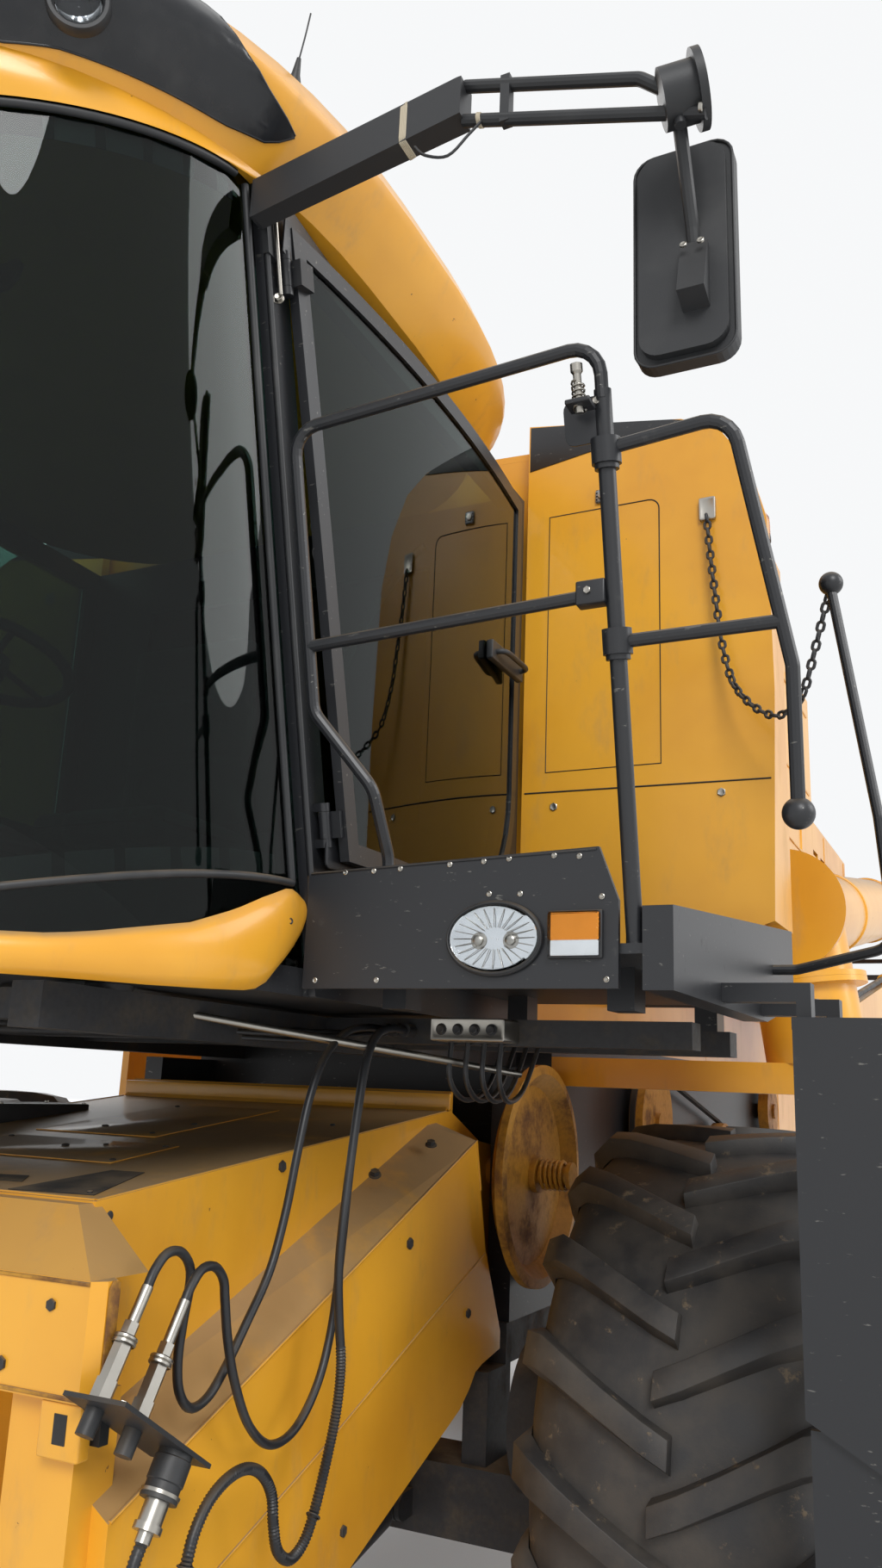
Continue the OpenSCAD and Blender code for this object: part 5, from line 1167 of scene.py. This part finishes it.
drawn("floor_pipes", [smooth_route([(.62, .58, 1.95), (.62, .4, 1.945), (.45, .28, 1.94), (0.0, .25, 1.94),
    (-.5, .26, 1.95)], 5), smooth_route([(.66, .6, 1.935), (.66, .36, 1.925), (.5, .16, 1.92), (0.0, .14, 1.92),
    (-.5, .16, 1.93)], 5)], .011, IRON, 3)
drawn("floor_cables", [smooth_route([(x, .59, 1.95), (x - .02, .42, 1.945 - d), (x - .16, .2, 1.94 - d),
    (x - .42, .02, 1.945 - d), (x - .62, -.1, 1.955), (x - .75, -.2, 1.97)], 5)
    for x, d in ((.8, .012), (.78, .024), (.76, .002))], .006, HOSE, 2)
drawn("gear_rod", [[(.6, -.02, 1.962), (1.05, .62, 1.878)], [(.6, .1, 1.955), (1.1, .86, 1.86)]], .009, BRIGHT,
    3)
drawn("valve_lines", [smooth_route([(1.02 + .045 * k, .59, 1.93), (1.02 + .045 * k, .585, 1.84),
    (1.02 + .04 * k, .68, 1.79), (1.02 + .035 * k, .82, 1.82), (1.02 + .035 * k, .93, 1.94)], 5)
    for k in range(4)], .007, HOSE, 2)
housing("valve_block", (1.0, .5, 1.93), (1.2, .598, 1.985), .006, BRIGHT, .01, FORWARDS)
spread("valve_screws", HEX, [((x, .4995, 1.958), FORWARDS, .02) for x in (1.03, 1.075, 1.12, 1.165)], IRON)

# Tyres and rims

def tyre_lug(w, r, carcass, lug_w, reach):
    """One slanting lug on the outer half of a tyre, at the top of the wheel. It curves down the shoulder."""
    rows = ((-.03, carcass - .012, 0.0, 1.0, r - carcass + .01, .42, .6),
        (.06, carcass - .012, 0.0, 1.0, r - carcass + .011, .43, .62),
        (.19, carcass - .013, 0.0, 1.0, r - carcass + .011, .44, .64),
        (.32, carcass - .018, .05, 1.0, r - carcass + .013, .47, .68),
        (.41, carcass - .03, .16, .99, r - carcass + .014, .52, .76),
        (.455, carcass - .06, .75, .66, .045, .56, .84), (.475, carcass - .105, 1.0, .2, .022, .58, .92),
        (.482, carcass - .165, 1.0, .05, .01, .62, .98), (.486, carcass - .215, 1.0, 0.0, .003, .5, .86))
    points, faces = [], []
    for k, (v, base, out, up, h, top, foot) in enumerate(rows):
        u = -reach + lug_w / 2 + (2 * reach - lug_w) * min(1.0, max(0.0, (v + .03) / .5)) ** 1.12
        u += .1 * max(0, k - 5) * lug_w
        low, high = Vector((v * w, 0, base)), Vector((v * w + out * h, 0, base + up * h))
        for q, half in ((low, -foot), (high, -top), (high, top), (low, foot)):
            angle = (u + half * lug_w) / r
            points.append((q.x, q.z * sin(angle), q.z * cos(angle)))
    n = len(rows)
    for k in range(n - 1):
        for j in range(4):
            faces.append((k * 4 + j, k * 4 + (j + 1) % 4, k * 4 + 4 + (j + 1) % 4, k * 4 + 4 + j))
    faces += [(3, 2, 1, 0), tuple(n * 4 - 4 + j for j in range(4))]
    lug = mesh_piece("lug", points, faces)
    return broken_edges(outward(lug), .0075, 2, 38)


LUG_HEIGHT = .042


def tyre(kind, word, side, x, y, r, w, rim_r, lugs, lug_w, body):
    """A round carcass with bulging walls, and lugs on both halves."""
    carcass = r - LUG_HEIGHT
    wall = carcass - rim_r
    edge = [(rim_r + .0015, .419 * w), (rim_r + .012, .424 * w), (rim_r + .03, .428 * w),
        (rim_r + .1 * wall + .03, .452 * w), (rim_r + .105 * wall + .03, .462 * w),
        (rim_r + .16 * wall + .03, .47 * w), (rim_r + .165 * wall + .03, .464 * w),
        (rim_r + .45 * wall, .484 * w), (rim_r + .62 * wall, .486 * w), (rim_r + .76 * wall, .474 * w),
        (carcass - .14 * wall, .448 * w), (carcass - .07 * wall, .405 * w), (carcass - .03 * wall, .34 * w),
        (carcass - .008 * wall, .2 * w), (carcass, 0)]
    profile = edge + [(a, -b) for a, b in reversed(edge[:-1])] + [edge[0]]
    carcass_piece = turned("%s_tyre_carcass_%s" % (kind, word), profile, (side * x, y, r), LEFTWARDS,
        "tyre_rubber", 96, 34, body=body)
    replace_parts(carcass_piece, "%s_tyre_%s" % (kind, word))
    reach = (.28 * w + lug_w) / 2
    lug = tyre_lug(w, r, carcass, lug_w, reach)
    twist = atan(reach / r)
    copies = []
    for k in range(lugs):
        for far in (1, -1):
            angle = 2 * pi * (k + (0 if far == 1 else .5)) / lugs + twist
            copy = lug.data.copy()
            if far * side == -1:
                copy.transform(Matrix.Scale(-1, 4, LEFTWARDS))
                copy.flip_normals()
            copy.transform(Matrix.Translation((side * x, y, r)) @ Matrix.Rotation(pi / 2 - angle, 4, "X"))
            copies.append(copy)
    bpy.data.objects.remove(lug)
    settle(from_machine(joined("tread", copies)), "%s_tyre_lugs_%s" % (kind, word), "tyre_rubber", body, 38)


def rim_details(kind, word, side, x, y, r, face, ring, count, body, rim_r, w):
    """Wheel nuts on the disc, beads round the rim's edges, and the valve."""
    spots = [(side * (x + face), y + ring * cos(a), r + ring * sin(a)) for a in angles(count)]
    spread("%s_wheel_nuts_%s" % (kind, word), HEX, [(p, (side, 0, 0), .034) for p in spots], BRIGHT, body)
    drawn("%s_rim_beads_%s" % (kind, word), [hoop((side * (x + d), y, r), (0, rim_r + .021, 0),
        (0, 0, rim_r + .021), 72) for d in (.45 * w, -.45 * w)], .006, YELLOW, 2, body=body)
    drawn("%s_valve_%s" % (kind, word), [[(side * (x + face + .01), y, r - rim_r + .06),
        (side * (x + face + .045), y, r - rim_r + .068)]], .007, HOSE, 3, body=body)


# Kind, place along X and Y, tyre radius and width, rim radius, lugs, lug width, and the nuts' face, ring and number
WHEELS = (("front", 1.52, 1.53, .87, .74, .406, 20, .076, -.068, .15, 10),
          ("rear", 1.35, 5.28, .59, .48, .262, 15, .056, .082, .11, 8))
for side, word in SIDES:
    for kind, x, y, r, w, rim_r, lugs, lug_w, face, ring, nuts in WHEELS:
        wheel = kind + "_wheel_" + word
        tyre(kind, word, side, x, y, r, w, rim_r, lugs, lug_w, wheel)
        rim_details(kind, word, side, x, y, r, face, ring, nuts, wheel, rim_r, w)


# The skirt under the windscreen: it bulges out, gets taller towards each end, and ends in a rounded tip

SKIRT_TOP = [(0, 2.207), (1.2, 2.217), (2.5, 2.223), (4, 2.22), (9, 2.19), (14, 2.155), (21, 2.115),
    (33, 2.078), (38, 2.066), (44, 2.062), (90, 2.062)]
SKIRT_LOW = [(0, 2.163), (1.2, 2.135), (2.5, 2.113), (4, 2.09), (9, 2.02), (11, 2.004), (13, 1.998),
    (19, 1.993), (27, 1.99), (90, 1.99)]


def skirt_row(turn):
    near = min(turn, 180 - turn)
    low, high = along(SKIRT_LOW, near), along(SKIRT_TOP, near)
    row = []
    for k in range(13):
        share = k / 12
        proud = (.006 if share else .002) + .024 * sin(pi * share) ** .55 * min(1.0, .35 + near / 9)
        row.append(glass_point(turn, low + (high - low) * share, proud))
    return row


TIP_TURNS = [0, .6, 1.2, 1.8, 2.5, 3.2, 4, 5, 6.5, 8, 9, 10, 11, 13]
turns = TIP_TURNS + [15 + 3 * k for k in range(51)] + [180 - t for t in reversed(TIP_TURNS)]
new_skirt = skin("cab_skirt_panel", [skirt_row(t) for t in turns], YELLOW, "machine", .004, 42)
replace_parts(new_skirt, "cab_skirt")
spread("skirt_tip_screws", SCREW, both([(tuple(glass_point(5.2, 2.15, .028)), (.95, -.3, 0), .014)]), IRON)


# Seat cushions, filled by a cloth simulation

ROOM_TO_SWELL, MOST_SWELL, GROOVE, CLOTH_FRAMES = .012, .011, .016, 20


def cushion(name, lo, hi, channels, way):
    """A crowned pad with rounded corners and sewn channels, blown up a little by pressure."""
    room = Vector((ROOM_TO_SWELL, ROOM_TO_SWELL, ROOM_TO_SWELL))
    box = broken_edges(block(Vector(lo) + room, Vector(hi) - room), .034, 4)
    finish_with(box, "REMESH", mode="VOXEL", voxel_size=.006)
    mesh = bmesh.new()
    mesh.from_mesh(box.data)
    for vertex in mesh.verts:
        for groove in channels:
            off = abs(vertex.co[way] - groove)
            if off < GROOVE:
                vertex.co -= vertex.normal * .01 * (1 - off / GROOVE)
    mesh.to_mesh(box.data)
    mesh.free()
    start = [v.co.copy() for v in box.data.vertices]
    only(box)
    cloth = box.modifiers.new("cloth", "CLOTH")
    cloth.settings.use_pressure = True
    cloth.settings.uniform_pressure_force = 4
    cloth.settings.effector_weights.gravity = 0
    cloth.settings.quality = 4
    cloth.point_cache.frame_end = CLOTH_FRAMES
    for frame_number in range(1, CLOTH_FRAMES + 1):
        scene.frame_set(frame_number)
        reached = box.evaluated_get(bpy.context.evaluated_depsgraph_get()).to_mesh()
        if max((v.co - p).length for v, p in zip(reached.vertices, start)) > MOST_SWELL:
            break
    bpy.ops.object.modifier_apply(modifier=cloth.name)
    for vertex, p in zip(box.data.vertices, start):
        step = vertex.co - p
        if step.length > MOST_SWELL:
            vertex.co = p + step * (MOST_SWELL / step.length)
    scene.frame_set(1)
    finish_with(box, "SMOOTH", factor=.5, iterations=2)
    finish_with(box, "SUBSURF", levels=1, render_levels=1)
    settle(from_machine(box), name, "seat_fabric", "machine", 60)
    return box


seat_pad = cushion("seat_pad", (-.25, .3, 2.4405), (.25, .769, 2.56), (-.12, .12), 0)
back_pad = cushion("back_pad", (-.24, .65, 2.565), (.24, .7695, 3.19), (2.78, 2.98), 2)
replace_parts(seat_pad, "seat_cushions")
drawn("seat_piping", [[(s * .243, y, 2.5) for y in (.33, .5, .66)] for s in (1, -1)]
    + [[(-.22, .306, 2.5), (.22, .306, 2.5)]], .0035, PLASTIC, 2)

# Seams, bolts, latches and lamps round the rest of the machine. Each is set on the solid that it belongs to.

def studs(name, node, starts, way, size, slot=IRON, pattern=SCREW, body="machine"):
    """Bolt or screw heads where lines from these points meet a solid."""
    found = [struck(node, start, way) for start in starts]
    places = [(tuple(hit[0]), tuple(hit[1]), size) for hit in found if hit]
    if places:
        spread(name, pattern, places, slot, body)


SEAM_STEP = .06


def seams(name, node, runs, way, radius, slot, body="machine"):
    """Beads or gaps laid on a solid along these runs. A run is cut where it leaves the solid or jumps."""
    laid = []
    for run in runs:
        piece = []
        for spot in evenly(run, SEAM_STEP):
            hit = struck(node, spot, way)
            if hit and (not piece or (hit[0] - piece[-1]).length < SEAM_STEP * 2.5):
                piece.append(hit[0])
            else:
                laid.append(piece)
                piece = [hit[0]] if hit else []
        laid.append(piece)
    laid = [piece for piece in laid if len(piece) > 1]
    if laid:
        drawn(name, laid, radius, slot, 1, body=body)


def box_run(a, b, plane, across=0):
    """A rectangle's outline in a plane of constant X, Y or Z, as four separate runs."""
    u, v = [k for k in range(3) if k != across]
    corners = []
    for p, q in ((a[0], a[1]), (b[0], a[1]), (b[0], b[1]), (a[0], b[1])):
        corner = [0, 0, 0]
        corner[across], corner[u], corner[v] = plane, p, q
        corners.append(tuple(corner))
    return [[corners[k], corners[(k + 1) % 4]] for k in range(4)]


SIDE_FACE = 1.7232
OUTSIDE = 2.6
for side, word in SIDES:
    out, way = side * OUTSIDE, (-side, 0, 0)
    panel, body = "side_panel_" + word, "panel_" + word
    seams("panel_swages_" + word, panel, [[(out, 2.64, z), (out, 6.12, z + .1)] for z in (1.36, 1.72)]
        + [[(out, 2.64, 1.36), (out, 2.64, 2.05)], [(out, 6.12, 1.46), (out, 6.12, 2.6)]], way, .006, YELLOW,
        body)
    seams("panel_gap_lines_" + word, panel, [[(out, 4.38, 1.27), (out, 4.38, 2.42)]], way, .0025, GAP_BLACK,
        body)
    studs("panel_side_screws_" + word, panel, [(out, 2.62 + .29 * k, 1.285) for k in range(13)]
        + [(out, y, 1.6) for y in (2.6, 4.32, 4.44, 6.16)], way, .022, IRON, body=body)
    for k, y in enumerate((3.1, 3.9, 4.9, 5.7)):
        x = side * SIDE_FACE
        housing("panel_latch_%s_%d" % (word, k + 1), (min(x, x + side * .012), y - .045, 1.42),
            (max(x, x + side * .012), y + .045, 1.47), .004, PLASTIC, .006, (side, 0, 0), body=body)
        drawn("panel_lever_%s_%d" % (word, k + 1), [[(x + side * .016, y - .034, 1.445),
            (x + side * .018, y + .034, 1.445)]], .005, BRIGHT, 2, body=body)
    for k in range(9):
        x, z = side * SIDE_FACE, 1.86 + .045 * k
        housing("panel_louvre_%s_%d" % (word, k + 1), (min(x - side * .001, x + side * .008), 4.75, z),
            (max(x - side * .001, x + side * .008), 5.45, z + .024), .0035, YELLOW, body=body)
    # Painted shade: a dark line under each louvre, for the shaded opening beneath it.
    seams("panel_louvre_shade_" + word, panel, [[(out, 4.76, 1.858 + .045 * k), (out, 5.44, 1.858 + .045 * k)]
        for k in range(9)], way, .0035, GAP_BLACK, body)
    seams("hood_folds_" + word, "engine_hood", [[(out, 4.4, z), (out, 6.18, z)] for z in (2.78, 3.46)]
        + [[(out, y, 2.5), (out, y, 3.52)] for y in (4.4, 5.28, 6.16)], way, .004, YELLOW)
    studs("hood_screws_" + word, "engine_hood", [(out, y, z) for y in (4.45, 5.22, 5.34, 6.1)
        for z in (2.7, 2.84, 3.2, 3.5)], way, .022, IRON)
    seams("tank_folds_" + word, "grain_tank", [[(out, 1.9, z), (out, 4.22, z)] for z in (3.05, 3.42, 3.86)]
        + [[(out, y, 2.9), (out, y, 3.9)] for y in (2.3, 3.1, 3.9)], way, .007, YELLOW)
    studs("tank_bolts_" + word, "grain_tank", [(out, 1.95 + .19 * k, 3.82) for k in range(12)], way, .024, IRON,
        HEX)
    seams("hood_side_seams_" + word, "straw_hood", box_run((6.35, 1.35), (7.1, 1.95), out)
        + box_run((6.35, 2.05), (7.3, 2.6), out) + [[(out, 6.3, 2.0), (out, 7.6, 2.0)]], way, .0035, YELLOW)
    studs("hood_side_bolts_" + word, "straw_hood", [(out, y, z) for y in (6.3, 6.6, 6.9, 7.2, 7.5)
        for z in (1.25, 2.0, 2.7)], way, .024, IRON, HEX)
    studs("chopper_bolts_" + word, "straw_chopper", [(out, y, z) for y in (7.45, 7.7, 7.95, 8.1)
        for z in (1.16, 1.32, 1.42)], way, .024, IRON, HEX)
    studs("frame_bolts_" + word, "chassis_frame", [(out, y, z)
        for y in (.2, .6, 2.2, 2.4, 3.4, 3.6, 4.9, 5.1, 6.2, 6.4) for z in (.91, .95)], way, .03, IRON, HEX)
    studs("axle_bolts_" + word, "front_axle", [(out, 1.53 + .195 * cos(a), .87 + .195 * sin(a))
        for a in (radians(15 + 30 * k) for k in range(12))], way, .026, IRON, HEX)
    studs("housing_bolts_" + word, "threshing_housing", [(out, y, z) for y in (1.75, 2.1, 2.45, 4.7, 5.4, 6.1)
        for z in (1.2, 1.9)], way, .026, IRON, HEX)
    studs("corner_screws_" + word, "corner_panels", [(side * 1.2, 2.6, 3.2), (side * 1.2, 2.6, 3.8),
        (side * 1.6, 2.6, 3.2), (side * 1.6, 2.6, 3.6)], FORWARDS, .02, IRON)
    cover = "tank_cover_" + word
    seams("cover_ribs_" + word, cover, [[(side * .12, y, 4.6), (side * 1.3, y, 4.6)]
        for y in (1.5, 2.15, 2.8, 3.45, 4.1)], DOWNWARDS, .008, YELLOW, "cover_" + word)
    studs("cover_bolts_" + word, cover, [(side * x, y, 4.6) for y in (1.42, 2.05, 2.9, 3.55, 4.18)
        for x in (.1, 1.33)], DOWNWARDS, .024, IRON, body="cover_" + word)
    studs("knuckle_bolts_" + word, "knuckle_" + word, [(side * 1.175, 5.28 + .055 * cos(a), 1.4)
        for a in angles(6)], DOWNWARDS, .018, IRON, HEX, body="steering_knuckle_" + word)
    studs("rear_lamp_screws_" + word, "rear_lamps", [(side * x, 8.4, z) for x in (.66, .74)
        for z in (1.82, 2.04)], FORWARDS, .014, BRIGHT)

seams("hood_rear_seams", "straw_hood", box_run((-.55, 2.15), (.15, 2.62), 8.6, 1)
    + [[(-.74, 8.6, 2.05), (.74, 8.6, 2.05)]], FORWARDS, .004, YELLOW)
studs("hood_rear_bolts", "straw_hood", [(x, 8.6, z) for x in (-.7, -.35, 0.0, .7) for z in (1.7, 2.1, 2.7)],
    FORWARDS, .024, IRON, HEX)
seams("engine_rear_seams", "engine_hood", box_run((-1.1, 2.95), (-.1, 3.5), 7.5, 1)
    + box_run((.1, 2.95), (1.1, 3.5), 7.5, 1), FORWARDS, .0045, GAP_BLACK)
studs("engine_rear_screws", "engine_hood", [(x, 7.5, z) for x in (-1.15, -.05, .05, 1.15)
    for z in (2.92, 3.53)], FORWARDS, .024, IRON)
seams("engine_deck_seams", "engine_hood", box_run((-.9, 4.7), (.6, 5.4), 4.5, 2), DOWNWARDS, .004, GAP_BLACK)
studs("engine_deck_screws", "engine_hood", [(x, y, 4.5) for x in (-.94, -.15, .64) for y in (4.66, 5.44)],
    DOWNWARDS, .022, IRON)
seams("tank_rear_folds", "grain_tank", [[(x, 5.2, 3.62), (x, 5.2, 3.92)] for x in (-.9, -.3, .3, .9)], FORWARDS,
    .006, YELLOW)
studs("roof_screws", "cab_roof", [(x, y, 4.5) for x in (-.7, .7) for y in (-.5, .2, .9)], DOWNWARDS, .022,
    PLASTIC)
seams("roof_hatch_gap", "cab_roof", box_run((-.42, -.25), (.42, .6), 4.6, 2), DOWNWARDS, .003, GAP_BLACK)
studs("ladder_studs", "ladder_fixed", [(x, .42 + .06 * k, z) for k in range(8) for x in (1.88, 1.94, 2.0, 2.06)
    for z in (1.6, 1.9, 2.3)], DOWNWARDS, .012, BRIGHT)
studs("low_ladder_studs", "ladder_folding", [(x, .42 + .06 * k, z) for k in range(8) for x in (1.96, 2.01, 2.06)
    for z in (.62, .92, 1.3)], DOWNWARDS, .012, BRIGHT, body="ladder_lower")
turned("exhaust_clamp", [(.0655, 0), (.071, .002), (.071, .02), (.0655, .022), (.0655, 0)], (.85, 5.6, 3.63),
    UPWARDS, BRIGHT, 36)
for k, r in enumerate((.42, .3, .16)):
    hits = [struck("rotary_screen", (-2.4, 5.25 + r * cos(t), 2.95 + r * sin(t)), LEFTWARDS)
        for t in angles(60)]
    ring = [hit[0] for hit in hits if hit]
    if len(ring) > 50:
        drawn("screen_ring_%d" % (k + 1), [looped(ring)], .005, BRIGHT, 2, body="air_screen")
studs("screen_bolts", "rotary_screen", [(-2.4, 5.25 + r * cos(t), 2.95 + r * sin(t)) for r in (.06, .41)
    for t in angles(12)], LEFTWARDS, .016, IRON, HEX, body="air_screen")
for k, y in enumerate((2.9, 4.4, 5.9, 7.3)):
    z = 2.44 + (y - 2.1) * .157
    sides_hit = [struck("auger_tube", (s * 3 + 1.64, y, z), (-s, 0, 0)) for s in (1, -1)]
    if all(sides_hit):
        middle = (sides_hit[0][0] + sides_hit[1][0]) / 2
        tops = [struck("auger_tube", (middle.x, y, z + s * 1.5), (0, 0, -s)) for s in (1, -1)]
        if all(tops):
            middle.z = (tops[0][0].z + tops[1][0].z) / 2
            r = (tops[0][0].z - tops[1][0].z) / 2 * .99
            drawn("auger_band_%d" % (k + 1), [hoop((middle.x, y, middle.z), (r, 0, 0), (0, -.155 * r, r), 48)],
                .007, YELLOW, 2, body="unloading_auger")
housing("rear_handle_foot_low", (-.3, 7.7502, 2.3), (-.26, 7.775, 2.33), .003, PLASTIC)
housing("rear_handle_foot_high", (-.3, 7.7502, 2.47), (-.26, 7.775, 2.5), .003, PLASTIC)
drawn("rear_handle", [[(-.28, 7.772, 2.31), (-.28, 7.795, 2.33), (-.28, 7.795, 2.47), (-.28, 7.772, 2.49)]],
    .008, PLASTIC, 3)

# The patterns have done their work once they are copied
for pattern in (HEX, SCREW, LINK):
    bpy.data.objects.remove(pattern)


# Light, floor and background

def sun(name, direction, strength, angle):
    data = bpy.data.lights.new(name, "SUN")
    data.energy = strength
    data.angle = radians(angle)
    linked(name, data).rotation_euler = Vector(direction).to_track_quat("-Z", "Y").to_euler()


sun("key_light", (-.45, .75, -.62), 1.7, 24)
sun("side_light", (-.9, -.35, -.5), .9, 30)
sun("back_light", (.7, -.6, -.6), .8, 40)

world = bpy.data.worlds.new("studio")
scene.world = world
world.use_nodes = True
tree = world.node_tree
tree.nodes.clear()


def background(colour, strength):
    made = tree.nodes.new("ShaderNodeBackground")
    made.inputs["Color"].default_value = (*colour, 1)
    made.inputs["Strength"].default_value = strength
    return made.outputs[0]


def world_node(kind, *inputs):
    """A node of the world's tree, with its first inputs linked."""
    made = tree.nodes.new("ShaderNode" + kind)
    for k, source in enumerate(inputs):
        tree.links.new(source, made.inputs[k])
    return made


# The camera, glass and reflections see a plain pale background. What lights the machine is dimmer.
ray = world_node("LightPath").outputs
first = world_node("Math", ray["Is Camera Ray"], ray["Is Transmission Ray"])
either = world_node("Math", first.outputs[0], ray["Is Glossy Ray"])
first.operation = either.operation = "MAXIMUM"
shown = world_node("MixShader", either.outputs[0], background((.93, .96, 1.0), .62),
    background((.93, .94, .95), 1.0))
world_node("OutputWorld", shown.outputs[0])

fresh()
bpy.ops.mesh.primitive_grid_add(x_subdivisions=2, y_subdivisions=2, size=120, location=(0, 0, -.002))
floor = bpy.context.object
floor.name = "floor"
bpy.ops.object.transform_apply(location=True)
floor_finish = Finish("floor_finish", roughness=.7)
floor_finish.set(base_color=floor_finish.mix(floor_finish.noise(.4, 3).over(.3, .8), (.8, .8, .79),
    (.84, .84, .83)))
floor.data.materials.append(floor_finish.material)
